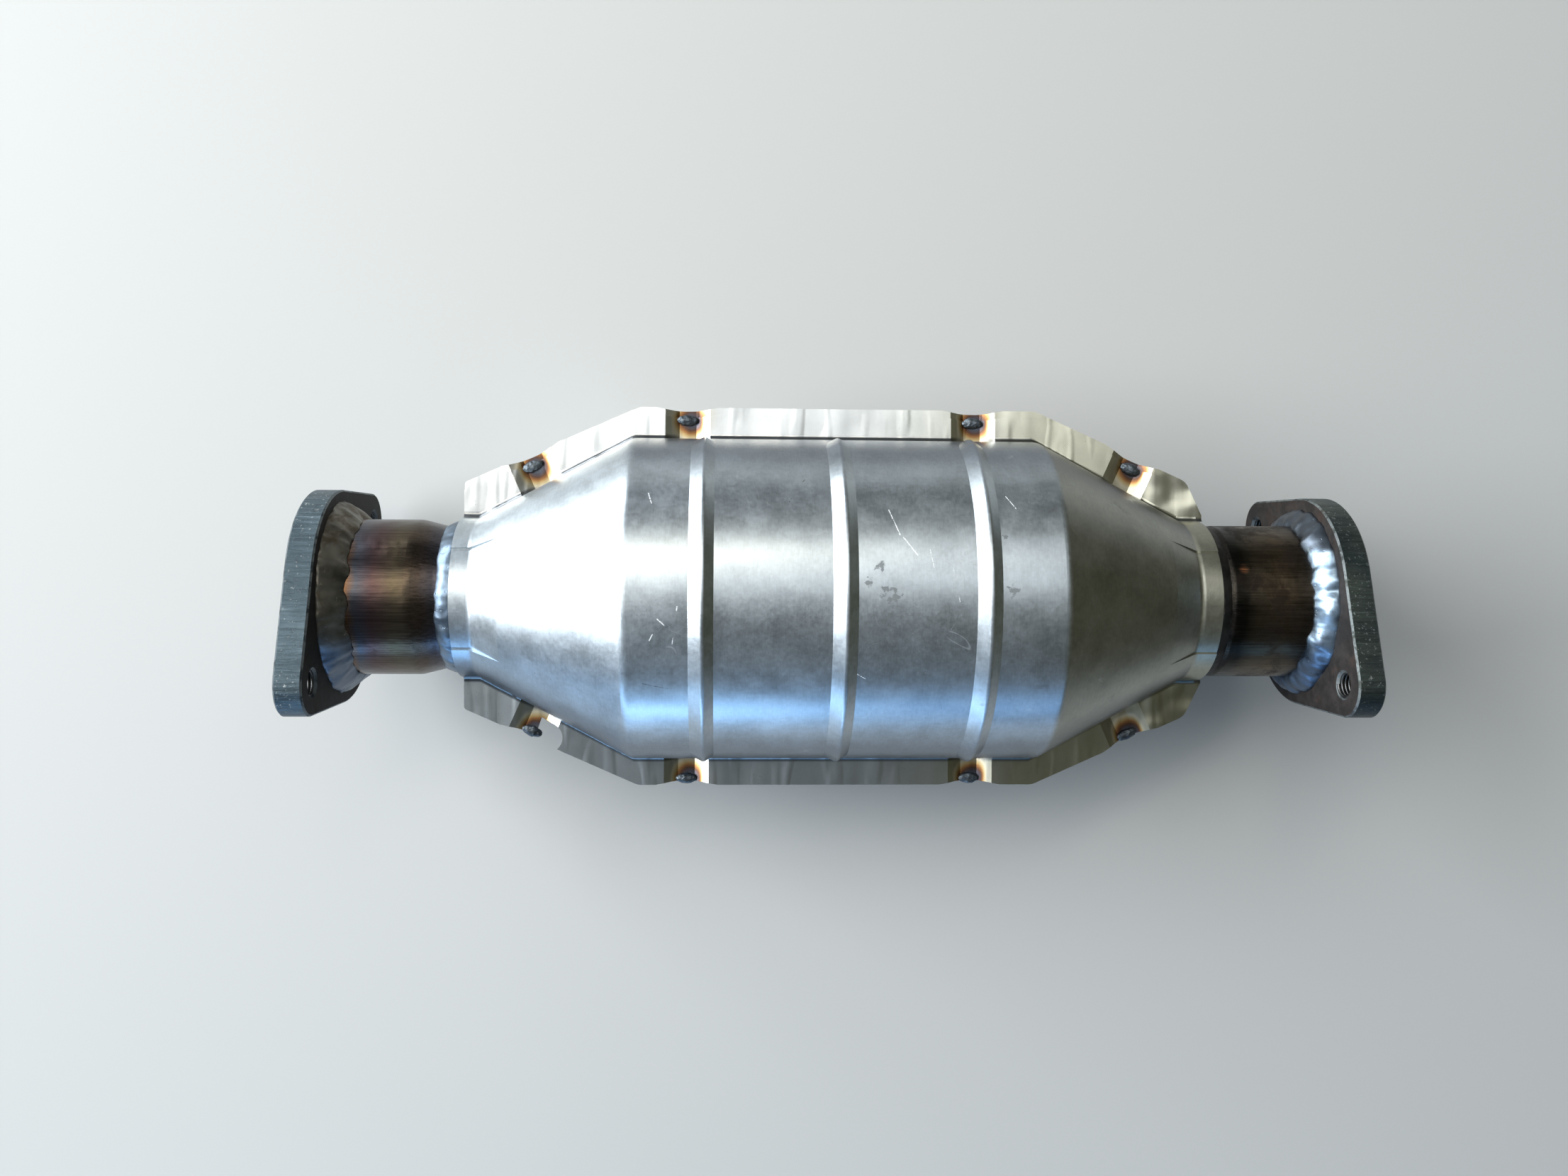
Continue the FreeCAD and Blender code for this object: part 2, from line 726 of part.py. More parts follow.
def seam_tacks(side, upper, lower):
    """The tack welds of one side, laid on the pocket floors at the upper strip's edge."""
    straight = tack_length - 2.0 * tack_radius
    nugget = Part.makeCylinder(tack_radius, straight, point(-straight / 2.0, 0), AXIS)
    for end in (-straight / 2.0, straight / 2.0):
        nugget = nugget.fuse(Part.makeSphere(tack_radius, point(end, 0)))
    height = sheet - pocket_depth + tack_lift
    nuggets = []
    for edge, direction, place_side in pocket_places(-seam_stagger):
        if place_side != side:
            continue
        blank = nugget.copy()
        blank.translate(point(0, -side * (tack_inset + pocket_pull), height))
        blank = placed_on_edge(blank, edge, direction)
        for half in (upper, lower):
            blank = blank.cut(half)
        nuggets.append(max(blank.Solids, key=lambda solid: solid.Volume))
    return Part.makeCompound(nuggets)


# ---------------------------------------------------------------- all pieces
def pieces():
    upper, lower = heat_shields()
    front_cone = inlet_cone()
    rear_cone = outlet_cone()
    front_brick, rear_brick = bricks()
    front_mat, rear_mat = mats()
    front_seal, rear_seal = seals()
    return {
        "inlet_flange": flange(inlet_face, 1.0),
        "outlet_flange": flange(outlet_face, -1.0),
        "inlet_pipe": inlet_pipe(),
        "outlet_pipe": outlet_pipe(),
        "inlet_flange_weld": flange_bead(inlet_plate_back, 1.0),
        "outlet_flange_weld": flange_bead(outlet_plate_back, -1.0),
        "inlet_neck_weld": inlet_neck_bead(),
        "outlet_neck_weld": outlet_neck_bead(),
        "inlet_cone": front_cone,
        "outlet_cone": rear_cone,
        "can_shell": ring(can_start, can_end, can_radius, can_inner_radius),
        "inlet_can_weld": can_bead_ring(can_start, -1.0, front_cone),
        "outlet_can_weld": can_bead_ring(can_end, 1.0, rear_cone),
        "front_brick": front_brick,
        "rear_brick": rear_brick,
        "front_mat": front_mat,
        "rear_mat": rear_mat,
        "front_mesh_seal": front_seal,
        "rear_mesh_seal": rear_seal,
        "brick_spacer": brick_spacer(),
        "heat_shield_upper": upper,
        "heat_shield_lower": lower,
        "left_seam_tacks": seam_tacks(1.0, upper, lower),
        "right_seam_tacks": seam_tacks(-1.0, upper, lower),
    }


os.makedirs("parts", exist_ok=True)
for name, shape in pieces().items():
    shape.exportStep(f"parts/{name}.step")
    box = shape.BoundBox
    print(f"{name}: {len(shape.Solids)} solid(s), {shape.Volume / 1000.0:.2f} cm3, "
          f"x {box.XMin:.1f} to {box.XMax:.1f}, valid {shape.isValid()}")
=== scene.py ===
# %% [markdown]
# # A catalytic converter under a stamped heat shield
# The part came off a car: a can with ceramic bricks hides under two thin stainless shells that are
# tacked together along their side flanges. Short pipe stubs and thick two-bolt plates stand at both
# ends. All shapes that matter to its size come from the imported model, in metres. This lesson gives
# them their finish, and grows the small rough things that welding and cutting leave behind.

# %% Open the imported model
import bmesh
import bpy
import math
import numpy as np
from mathutils import Matrix, Vector


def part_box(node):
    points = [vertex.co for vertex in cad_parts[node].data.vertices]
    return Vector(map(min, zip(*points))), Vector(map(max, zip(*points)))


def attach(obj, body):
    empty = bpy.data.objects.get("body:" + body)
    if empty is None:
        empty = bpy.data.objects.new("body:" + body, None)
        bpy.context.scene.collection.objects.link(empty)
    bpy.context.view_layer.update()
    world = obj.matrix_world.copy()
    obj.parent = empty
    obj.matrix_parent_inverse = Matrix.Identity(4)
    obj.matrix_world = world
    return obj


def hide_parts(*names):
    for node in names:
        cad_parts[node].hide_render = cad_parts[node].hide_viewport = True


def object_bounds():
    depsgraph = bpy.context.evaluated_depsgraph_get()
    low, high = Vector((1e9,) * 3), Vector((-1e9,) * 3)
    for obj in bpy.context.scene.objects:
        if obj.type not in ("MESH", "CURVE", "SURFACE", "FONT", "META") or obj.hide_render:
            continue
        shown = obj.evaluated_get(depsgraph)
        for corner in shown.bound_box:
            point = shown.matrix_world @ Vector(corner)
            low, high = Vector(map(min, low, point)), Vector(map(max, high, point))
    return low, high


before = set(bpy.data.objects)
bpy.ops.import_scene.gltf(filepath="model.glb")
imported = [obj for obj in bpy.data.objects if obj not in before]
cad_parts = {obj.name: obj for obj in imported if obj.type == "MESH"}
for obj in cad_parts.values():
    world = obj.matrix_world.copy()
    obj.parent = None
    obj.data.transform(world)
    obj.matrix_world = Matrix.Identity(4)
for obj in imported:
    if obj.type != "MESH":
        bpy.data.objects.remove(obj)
MM = 0.001
cad_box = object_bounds()
print(len(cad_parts), "solids, from", [round(v / MM, 1) for v in cad_box[0]],
      "to", [round(v / MM, 1) for v in cad_box[1]])

# %% [markdown]
# ## The places that everything else is measured from
# Stations along the pipe axis are read from the solids themselves, so a finish stays where it
# belongs when a size changes.


# %% Stations from the solids
def span(node, axis=0):
    """Where a solid starts and ends along one axis."""
    low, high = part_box(node)
    return low[axis], high[axis]


shield_start, shield_end = span("heat_shield_upper")
inlet_back = span("inlet_flange")[1]
outlet_back = span("outlet_flange")[0]
can_start, can_end = span("can_shell")
can_middle = (can_start + can_end) / 2
print("barrel from", round(can_start / MM, 1), "to", round(can_end / MM, 1))

# %% [markdown]
# A box gives only the largest reach of a solid. The sizes inside that reach are written down here,
# once: the barrel between its ribs, the collars and where the cones bend away from them, the seats
# that the weld beads lie on, and the two tapped holes of a plate.

# %% Sizes that a box can't give
pipe_radius = 27.4 * MM
barrel_radius = 56.9 * MM
collar_radius = 28.6 * MM
inlet_bend_x = shield_start + 6.0 * MM
outlet_bend_x = shield_end - 9.7 * MM
barrel_edge_in, barrel_edge_out = can_start - 2.0 * MM, can_end + 2.0 * MM
INLET_NECK_END, INLET_NECK_SEAT = 50.2 * MM, 25.1 * MM
OUTLET_NECK_END, OUTLET_NECK_SEAT = 315.2 * MM, 26.0 * MM
BOLT_RADIUS = 45.4 * MM
BOLT_LEAN = math.radians(90.0 + 36.8)
print("barrel radius", round(barrel_radius / MM, 1), "and pipe radius", round(pipe_radius / MM, 1))

# %% [markdown]
# ## Camera
# The part is looked at from straight above, from less than half a metre, so both plates show
# their inner faces. A 29 mm lens on a 36 mm sensor gives that wide view.

# %% Camera
CAMERA_PLACE = Vector((144.21, 13.32, 455.54)) * MM
CAMERA_TURN = [math.radians(a) for a in (1.19135, 2.57451, -0.31915)]
LENS = 29.105

camera_data = bpy.data.cameras.new("camera")
camera_data.lens = LENS
camera_data.sensor_width = 36.0
camera_data.clip_start = 0.01
camera = bpy.data.objects.new("camera", camera_data)
bpy.context.scene.collection.objects.link(camera)
look = (Matrix.Rotation(CAMERA_TURN[2], 3, "Z") @ Matrix.Rotation(CAMERA_TURN[1], 3, "Y")
        @ Matrix.Rotation(CAMERA_TURN[0], 3, "X"))
camera.matrix_world = Matrix.Translation(CAMERA_PLACE) @ look.transposed().to_4x4()
bpy.context.scene.camera = camera
bpy.context.scene.view_settings.view_transform = "Standard"
print("camera", [round(v, 3) for v in camera.location])

# %% [markdown]
# ## Small helpers
# Shader trees and geometry trees share their Math nodes. A tiny class lets a formula be written as
# a formula: every + or * lays one Math node and its wires.


# %% Wires that can be added and multiplied
def plug(tree, value, socket):
    """Joins a wire to a socket, or writes a plain number or colour into it."""
    if isinstance(value, Wire):
        tree.links.new(value.socket, socket)
    elif socket.type == "RGBA":
        socket.default_value = (*value, 1.0)
    else:
        socket.default_value = value


class Wire:
    """A number on its way through a node tree."""

    def __init__(self, tree, socket):
        self.tree = tree
        self.socket = socket

    def math(self, operation, *others):
        node = self.tree.nodes.new("ShaderNodeMath")
        node.operation = operation
        for socket, item in zip(node.inputs, (self,) + others):
            plug(self.tree, item, socket)
        return Wire(self.tree, node.outputs[0])

    def __add__(self, other):
        return self.math("ADD", other)

    def __sub__(self, other):
        return self.math("SUBTRACT", other)

    def __mul__(self, other):
        return self.math("MULTIPLY", other)

    def __truediv__(self, other):
        return self.math("DIVIDE", other)

    __radd__ = __add__
    __rmul__ = __mul__

    def smooth(self, low, high, from_value=0.0, to_value=1.0):
        """Rises smoothly from one value to the other while this goes from low to high."""
        node = self.tree.nodes.new("ShaderNodeMapRange")
        node.interpolation_type = "SMOOTHSTEP"
        for socket, item in zip(node.inputs, (self, low, high, from_value, to_value)):
            plug(self.tree, item, socket)
        return Wire(self.tree, node.outputs[0])


def add(tree, kind, output=0, settings=None, **inputs):
    """Lays one node, fills its named inputs, and hands back a wire from one of its outputs."""
    node = tree.nodes.new(kind)
    for name, value in (settings or {}).items():
        setattr(node, name, value)
    for name, value in inputs.items():
        plug(tree, value, node.inputs[name.replace("_", " ")])
    return Wire(tree, node.outputs[output])


def blend(tree, share, first, second, mode="MIX"):
    """Mixes two colours."""
    node = tree.nodes.new("ShaderNodeMix")
    node.data_type = "RGBA"
    node.blend_type = mode
    plug(tree, share, node.inputs[0])
    plug(tree, first, node.inputs[6])
    plug(tree, second, node.inputs[7])
    return Wire(tree, node.outputs[2])


def noise(tree, place, scale, detail=3.0, roughness=0.5, distortion=0.0):
    """A soft random value between 0 and 1, at so many patches a metre."""
    return add(tree, "ShaderNodeTexNoise", Vector=place, Scale=scale, Detail=detail,
               Roughness=roughness, Distortion=distortion)


def mapped(tree, place, scale=(1.0, 1.0, 1.0), shift=(0.0, 0.0, 0.0), turn=(0.0, 0.0, 0.0)):
    """The same place scaled, turned and shifted. A small scale draws a pattern out that way."""
    return add(tree, "ShaderNodeMapping", Vector=place, Scale=scale, Location=shift, Rotation=turn)


def split(tree, place):
    """The three coordinates of a place as separate wires."""
    node = tree.nodes.new("ShaderNodeSeparateXYZ")
    plug(tree, place, node.inputs[0])
    return [Wire(tree, node.outputs[i]) for i in range(3)]


def joined(tree, x, y, z):
    """Three numbers as one place."""
    return add(tree, "ShaderNodeCombineXYZ", X=x, Y=y, Z=z)


def vector_math(tree, operation, *vectors, output="Vector", **inputs):
    """One Vector Math node."""
    wire = add(tree, "ShaderNodeVectorMath", output, {"operation": operation}, **inputs)
    for socket, vector in zip(wire.socket.node.inputs, vectors):
        plug(tree, vector, socket)
    return wire


def most(wires, operation="MAXIMUM"):
    """The largest of several numbers, or with MINIMUM the smallest."""
    result, *others = wires
    for wire in others:
        result = result.math(operation, wire)
    return result


def layered(tree, colour, layers, mode="MIX"):
    """Lays colours over one another, each with its own share."""
    for share, layer in layers:
        colour = blend(tree, share, colour, layer, mode)
    return colour


def ramp(tree, value, stops):
    """A colour for each value, run smoothly through the given stops."""
    node = tree.nodes.new("ShaderNodeValToRGB")
    plug(tree, value, node.inputs[0])
    elements = node.color_ramp.elements
    while len(elements) < len(stops):
        elements.new(1.0)
    for element, (position, colour) in zip(elements, stops):
        element.position = position
        element.color = (*colour, 1.0)
    return Wire(tree, node.outputs[0])


def dressed(tree, shader, **values):
    """Joins wires to a shader's inputs, or writes plain values into them."""
    for name, value in values.items():
        plug(tree, value, shader.inputs[name.replace("_", " ")])


def placed(name, data):
    """A new object in the scene."""
    made = bpy.data.objects.new(name, data)
    bpy.context.scene.collection.objects.link(made)
    return made


def tell(name, tree):
    """Says how far a tree has grown."""
    print(name + ":", len(tree.nodes), "nodes")


print("helpers for wires, colours and objects ready")

# %% [markdown]
# ## Light
# A garage with one bright window beyond the inlet end and a blue sky low on the right-hand side.
# Polished and brushed steel has almost no colour of its own: what it shows is its surroundings,
# so the lamps are placed where the metal should show white, cream or blue. The window and its low
# part whiten the inlet cone and the left strips. Two low pieces of sky put the blue band on the
# right of the barrel, a warm ceiling puts the cream one on the left, and a wide dim box overhead
# lights what faces up. They're soft boxes, and they're hidden from the camera so that they light
# the part without hanging in the picture.


# %% Soft boxes
def soft_box(name, direction, distance, size, power, colour, target):
    """An area lamp in a direction from a target, turned to face it."""
    data = bpy.data.lights.new(name, "AREA")
    data.shape = "RECTANGLE"
    data.size, data.size_y = size
    data.energy = power
    data.color = colour
    lamp = placed(name, data)
    along = Vector(direction).normalized()
    lamp.location = target + along * distance
    lamp.rotation_euler = along.to_track_quat("Z", "Y").to_euler()
    lamp.visible_camera = False


DAYLIGHT, SKY = (0.92, 0.97, 1.0), (0.36, 0.64, 1.0)
LAMPS = (  # name, direction, distance in metres, width and height, watts, colour
    ("window", (-0.86, 0.22, 0.50), 2.0, (1.80, 0.92), 69.0, DAYLIGHT),
    ("window_low", (-0.74, 0.67, 0.10), 1.3, (1.0, 0.26), 9.0, DAYLIGHT),
    ("sky_low", (-0.38, -1.0, 0.17), 1.0, (0.8, 0.14), 2.6, SKY),
    ("warm_ceiling", (-0.30, 0.40, 0.90), 1.1, (0.9, 0.13), 2.3, (1.0, 0.90, 0.70)),
    ("sky_far", (0.25, -1.0, 0.22), 1.1, (0.9, 0.20), 1.0, (0.22, 0.52, 1.0)),
    ("overhead", (-0.08, 0.42, 1.0), 1.5, (1.7, 1.05), 6.6, (0.94, 0.98, 1.0)),
)
for lamp in LAMPS:
    soft_box(*lamp, target=Vector((can_middle, 0.0, 0.0)))

world = bpy.data.worlds.new("room")
bpy.context.scene.world = world
world.use_nodes = True
sky = world.node_tree
ray = add(sky, "ShaderNodeTexCoord", output="Generated")
room = ramp(sky, split(sky, ray)[0].smooth(-1.0, 1.0), [
    (0.0, (0.27, 0.31, 0.35)), (0.5, (0.14, 0.155, 0.165)), (1.0, (0.080, 0.080, 0.050))])
dressed(sky, sky.nodes["Background"], Color=room, Strength=1.0)
print(len(LAMPS), "soft boxes and a room that is darker beyond the outlet")

# %% [markdown]
# ## Floor
# A pale plain sheet of card under the part. It's only there to stand the part on and to catch its
# shadow.

# %% Floor
FLOOR_HALF = 20.0
FLOOR_DROP = 0.2 * MM
floor_z = cad_box[0][2] - FLOOR_DROP
corners = [(x * FLOOR_HALF, y * FLOOR_HALF, floor_z)
           for x, y in ((-1, -1), (1, -1), (1, 1), (-1, 1))]
floor_mesh = bpy.data.meshes.new("floor")
floor_mesh.from_pydata(corners, [], [(0, 1, 2, 3)])
floor = placed("floor", floor_mesh)
card = bpy.data.materials.new("pale_card")
card.use_nodes = True
dressed(card.node_tree, card.node_tree.nodes["Principled BSDF"],
        Base_Color=(0.50, 0.50, 0.49), Roughness=0.9)
floor_mesh.materials.append(card)
print("floor at", round(floor_z / MM, 2), "mm")

# %% [markdown]
# ## Finishes: effects that several metals share
# Each effect is one node group with named inputs, so the same idea can be used at another scale.
# Only colours, masks and heights leave a group. The shader itself stays in each material.


# %% A blank tree with named sockets
def new_tree(name, kind, inputs, outputs):
    """A tree, the wires that come in through its named inputs, and the node that ends it."""
    tree = bpy.data.node_groups.new(name, kind)
    for label, socket_kind, *value in inputs:
        socket = tree.interface.new_socket(label, in_out="INPUT", socket_type=socket_kind)
        if value:
            socket.default_value = value[0]
    for label, socket_kind in outputs:
        tree.interface.new_socket(label, in_out="OUTPUT", socket_type=socket_kind)
    entry = tree.nodes.new("NodeGroupInput")
    leave = tree.nodes.new("NodeGroupOutput")
    return tree, {label: Wire(tree, entry.outputs[label]) for label, *rest in inputs}, leave


def group(name, inputs, outputs):
    """A blank shader group."""
    return new_tree(name, "ShaderNodeTree", inputs, outputs)


def use(tree, effect, **inputs):
    """Places a group in a material and hands back its outputs by name."""
    node = tree.nodes.new("ShaderNodeGroup")
    node.node_tree = effect
    for name, value in inputs.items():
        plug(tree, value, node.inputs[name])
    return {socket.name: Wire(tree, socket) for socket in node.outputs}


FLOAT = "NodeSocketFloat"
VECTOR = "NodeSocketVector"
COLOUR = "NodeSocketColor"

# %% [markdown]
# ### Rolled and pressed sheet
# Stainless sheet isn't even: rolling leaves a fine grain, and pressing leaves cloudy patches that
# scatter a little more or less light. Two scales of noise make the clouds, and a third that is
# drawn out in one direction makes the grain.

# %% Sheet grain
sheet_grain, ins, out = group(
    "sheet_grain",
    [("Place", VECTOR), ("Clouds", FLOAT, 90.0), ("Grain", FLOAT, 2600.0),
     ("Strength", FLOAT, 1.0)],
    [("Tone", FLOAT), ("Rough", FLOAT), ("Height", FLOAT)])
clouds = noise(sheet_grain, ins["Place"], ins["Clouds"], detail=5.0, roughness=0.62)
flecks = noise(sheet_grain, ins["Place"], ins["Clouds"] * 9.0, detail=3.0, roughness=0.7)
drawn = mapped(sheet_grain, ins["Place"], scale=(1.0, 0.12, 0.12))
grain = noise(sheet_grain, drawn, ins["Grain"], detail=2.0, roughness=0.6)
uneven = (clouds - 0.5) * 1.1 + (flecks - 0.5) * 0.55 + (grain - 0.5) * 0.35
plug(sheet_grain, uneven * ins["Strength"] + 0.5, out.inputs["Tone"])
plug(sheet_grain, (clouds - 0.5) * ins["Strength"] + (flecks - 0.5) * 0.6, out.inputs["Rough"])
plug(sheet_grain, grain * 0.4 + flecks * 0.6, out.inputs["Height"])
tell("sheet_grain", sheet_grain)

# %% [markdown]
# ### Scratches
# A scratch is a very long, very thin mark. Where two noises that are drawn out along different
# directions cross a narrow band of values, hair-thin lines appear. A third noise lets them through
# only here and there.

# %% Scratches
scratch_marks, ins, out = group(
    "scratch_marks",
    [("Place", VECTOR), ("Scale", FLOAT, 60.0), ("Width", FLOAT, 0.02),
     ("Amount", FLOAT, 0.5)],
    [("Mask", FLOAT)])


def hairlines(turn, seed):
    """One family of long thin lines, turned its own way."""
    turned = mapped(scratch_marks, ins["Place"], turn=(turn * 0.6, turn * 0.8, turn),
                    shift=(seed, seed * 0.7, seed * 1.3))
    long_way = mapped(scratch_marks, turned, scale=(0.09, 1.0, 1.0))
    wave = noise(scratch_marks, long_way, ins["Scale"], detail=0.0)
    return ((wave - 0.5).math("ABSOLUTE") - ins["Width"]).smooth(0.0, -0.01)


lines = most([hairlines(0.35, 3.1), hairlines(-0.9, 7.7), hairlines(1.3, 12.3)])
gate = noise(scratch_marks, ins["Place"], ins["Scale"] * 0.7, detail=2.0)
gate = (gate + ins["Amount"]).smooth(1.0, 1.08)
plug(scratch_marks, lines * gate, out.inputs["Mask"])
tell("scratch_marks", scratch_marks)

# %% [markdown]
# ### Temper colours
# Heated steel grows an oxide film, and its thickness gives its colour: straw and gold where it was
# only warm, then brown, purple and blue, and grey where it was hottest. One ramp holds the whole
# order. Heat is 0 for cold metal and 1 beside the weld.

# %% Temper colours
temper, ins, out = group(
    "temper_colours",
    [("Heat", FLOAT, 0.0), ("Place", VECTOR), ("Unevenness", FLOAT, 0.2)],
    [("Colour", COLOUR), ("Film", FLOAT)])
drift = (noise(temper, ins["Place"], 150.0, detail=2.0, roughness=0.5) - 0.5) * ins["Unevenness"]
heat = ins["Heat"] + drift
plug(temper, ramp(temper, heat, [
    (0.00, (0.60, 0.59, 0.56)), (0.22, (0.60, 0.54, 0.40)), (0.42, (0.50, 0.36, 0.17)),
    (0.58, (0.32, 0.15, 0.06)), (0.74, (0.12, 0.065, 0.045)), (0.90, (0.09, 0.09, 0.11)),
    (1.00, (0.15, 0.17, 0.20))]), out.inputs["Colour"])
plug(temper, heat.smooth(0.02, 0.25), out.inputs["Film"])
tell("temper_colours", temper)

# %% [markdown]
# ### Grime
# Soot, road dust and rust settle in patches. The group gives a soft-edged mask for them.

# %% Grime
grime, ins, out = group(
    "grime",
    [("Place", VECTOR), ("Scale", FLOAT, 120.0), ("Amount", FLOAT, 0.5),
     ("Edge", FLOAT, 0.12)],
    [("Mask", FLOAT)])
patches = noise(grime, ins["Place"], ins["Scale"], detail=6.0, roughness=0.68, distortion=0.4)
level = ins["Amount"].math("MULTIPLY_ADD", -0.6, 0.8)
plug(grime, (patches - level).smooth(0.0, ins["Edge"]), out.inputs["Mask"])
tell("grime", grime)

# %% [markdown]
# ### Single strokes
# Some marks have a place of their own: a scratch from here to there. The group measures how far the
# surface is from a straight line between two points, and marks what is nearer than a width. Noise
# breaks the stroke up, so it looks scraped and not drawn.

# %% Single strokes
stroke, ins, out = group(
    "single_stroke",
    [("Place", VECTOR), ("From", VECTOR), ("To", VECTOR),
     ("Width", FLOAT, 0.0003), ("Broken", FLOAT, 0.6)],
    [("Mask", FLOAT)])
to_place = vector_math(stroke, "SUBTRACT", ins["Place"], ins["From"])
whole = vector_math(stroke, "SUBTRACT", ins["To"], ins["From"])
share = (vector_math(stroke, "DOT_PRODUCT", to_place, whole, output="Value")
         / vector_math(stroke, "DOT_PRODUCT", whole, whole, output="Value"))
share = share.math("MAXIMUM", 0.0).math("MINIMUM", 1.0)
foot = vector_math(stroke, "SCALE", whole, Scale=share)
away = vector_math(stroke, "DISTANCE", to_place, foot, output="Value")
ragged = noise(stroke, ins["Place"], 1400.0, detail=3.0, roughness=0.7)
edge = ins["Width"] * (ragged * 1.6 + 0.2)
line = (away / edge).smooth(1.0, 0.55)
plug(stroke, line * (ragged - ins["Broken"] * 0.5).smooth(0.1, 0.2), out.inputs["Mask"])
tell("single_stroke", stroke)

# %% [markdown]
# ## Materials
# Every material starts the same way: a Principled shader and the part's own coordinates, which are
# metres along the pipe, across and up.


# %% Start of a material
def material(name, metallic=1.0):
    """A new material, its tree, its shader, and the wire with the part's coordinates."""
    made = bpy.data.materials.new(name)
    made.use_nodes = True
    tree = made.node_tree
    shader = tree.nodes["Principled BSDF"]
    shader.inputs["Metallic"].default_value = metallic
    place = Wire(tree, tree.nodes.new("ShaderNodeTexCoord").outputs["Object"])
    return made, tree, shader, place


def bumped(tree, shader, height, depth, sharpness=1.0):
    """Raises and lowers the look of the surface by a depth in metres."""
    normal = add(tree, "ShaderNodeBump", Strength=sharpness, Distance=depth, Height=height)
    dressed(tree, shader, Normal=normal)


def near(tree, place, points):
    """How far the surface is from the nearest of several points, in metres."""
    return most([vector_math(tree, "DISTANCE", place, tuple(point), output="Value")
                 for point in points], "MINIMUM")


def paint(node_name, made):
    """Gives a CAD solid its finish."""
    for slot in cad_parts[node_name].material_slots:
        slot.material = made


print("a material starts with a shader and the part's own coordinates")

# %% [markdown]
# ### Where the tacks are
# The eight tack welds are separate lumps inside two solids. Their centres and the way they lie are
# found from the loose islands of those solids, because the heat marks have to sit round them.


# %% Islands of a solid
def islands(node_name):
    """Centre, long direction and half length of each separate lump of a solid."""
    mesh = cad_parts[node_name].data
    points = np.array([v.co for v in mesh.vertices])
    keys = np.round(points / (0.01 * MM)).astype(int)
    names, label = np.unique(keys, axis=0, return_inverse=True)
    label = label.ravel()
    parent = list(range(len(names)))

    def root(i):
        while parent[i] != i:
            parent[i] = parent[parent[i]]
            i = parent[i]
        return i

    for face in mesh.polygons:
        corners = [label[v] for v in face.vertices]
        for other in corners[1:]:
            parent[root(other)] = root(corners[0])
    owner = np.array([root(label[i]) for i in range(len(points))])
    lumps = []
    for which in np.unique(owner):
        cloud = points[owner == which]
        centre = (cloud.min(axis=0) + cloud.max(axis=0)) / 2
        spread = np.linalg.svd(cloud - cloud.mean(axis=0), full_matrices=False)[2][0]
        reach = np.abs((cloud - centre) @ spread).max()
        lumps.append((Vector(centre), Vector(spread), float(reach)))
    return lumps


tacks = islands("left_seam_tacks") + islands("right_seam_tacks")
for centre, run, reach in tacks:
    print("tack at", [round(v / MM, 1) for v in centre], "half length", round(reach / MM, 1))

# %% [markdown]
# ### Marks on the barrel
# The barrel was handled and thrown about, so it has a few white scratches, some darker ones and
# soft smudges of soot. Each has a place: a share of the barrel's length, and degrees from its top
# towards the left. So they stay on the surface when the barrel grows.

# %% Marks on the barrel
WHITE_SCRATCHES = [  # start, end, width in mm
    ((0.111, -1), (0.100, -13), 0.20), ((0.066, -5), (0.082, -7), 0.21),
    ((0.055, -10), (0.048, -12), 0.17), ((0.599, 32), (0.622, 23), 0.24),
    ((0.630, 22), (0.661, 16), 0.24), ((0.742, 12), (0.757, 1), 0.15),
    ((0.690, 18), (0.698, 12), 0.13), ((0.879, 38), (0.899, 33), 0.18),
    ((0.04, 38), (0.048, 34), 0.20), ((0.51, -22), (0.545, -25), 0.13)]
DARK_SCRATCHES = [
    ((0.406, 45), (0.368, 35), 0.13), ((0.16, -30), (0.17, -36), 0.14),
    ((0.03, -27), (0.09, -29), 0.12)]
SMUDGES = [  # middle, radius in mm
    ((0.594, 3), 6.5), ((0.552, 7), 3.5), ((0.882, 5), 4.2), ((0.575, 12), 3.2), ((0.86, 22), 3.2)]


def on_barrel(share, degrees):
    """A point on top of the barrel."""
    turn = math.radians(degrees)
    return (can_start + share * (can_end - can_start),
            barrel_radius * math.sin(turn), barrel_radius * math.cos(turn))


def scratched(tree, place, scratches):
    """The strongest of several strokes."""
    return most([use(tree, stroke, Place=place, From=on_barrel(*start), To=on_barrel(*end),
                     Width=width * MM)["Mask"] for start, end, width in scratches])


def smudged(tree, place, smudges):
    """Soft round spots, full within a fifth of their radius."""
    return most([near(tree, place, [on_barrel(*middle)]).smooth(radius * MM, 0.2 * radius * MM)
                 for middle, radius in smudges])


print(len(WHITE_SCRATCHES) + len(DARK_SCRATCHES), "scratches with a place of their own")

# %% [markdown]
# ### The shell's own outline
# Painted shade darkens the bent root where the round shell meets its side flanges. To find the root,
# the material works out the shell's radius at each station: the smaller of the barrel and the two
# cones, and never less than a collar.


# %% Shell outline as wires
def shell_radius(tree, x):
    """The shield's plain outer radius at each station along the pipe."""
    slope_in = (barrel_radius - collar_radius) / (barrel_edge_in - inlet_bend_x)
    slope_out = (barrel_radius - collar_radius) / (outlet_bend_x - barrel_edge_out)
    rising = (x - inlet_bend_x) * slope_in + collar_radius
    falling = (x * -1.0 + outlet_bend_x) * slope_out + collar_radius
    return most([rising, falling], "MINIMUM").math("MINIMUM", barrel_radius).math(
        "MAXIMUM", collar_radius)


print("the shell is a barrel of", round(barrel_radius / MM, 1), "mm between two cones")

# %% [markdown]
# ### Heat-shield sheet
# Satin stainless. Round each tack the film runs from dark brown to gold. The side flanges were
# crumpled in the press, so they carry short cross marks. One material can say all that, because
# every finish has its place on the part. So the masks come first: where the flanges, pockets,
# roots and collars are, and how far the next tack is. The heat lies a little past each tack, on
# the side where the torch left it.

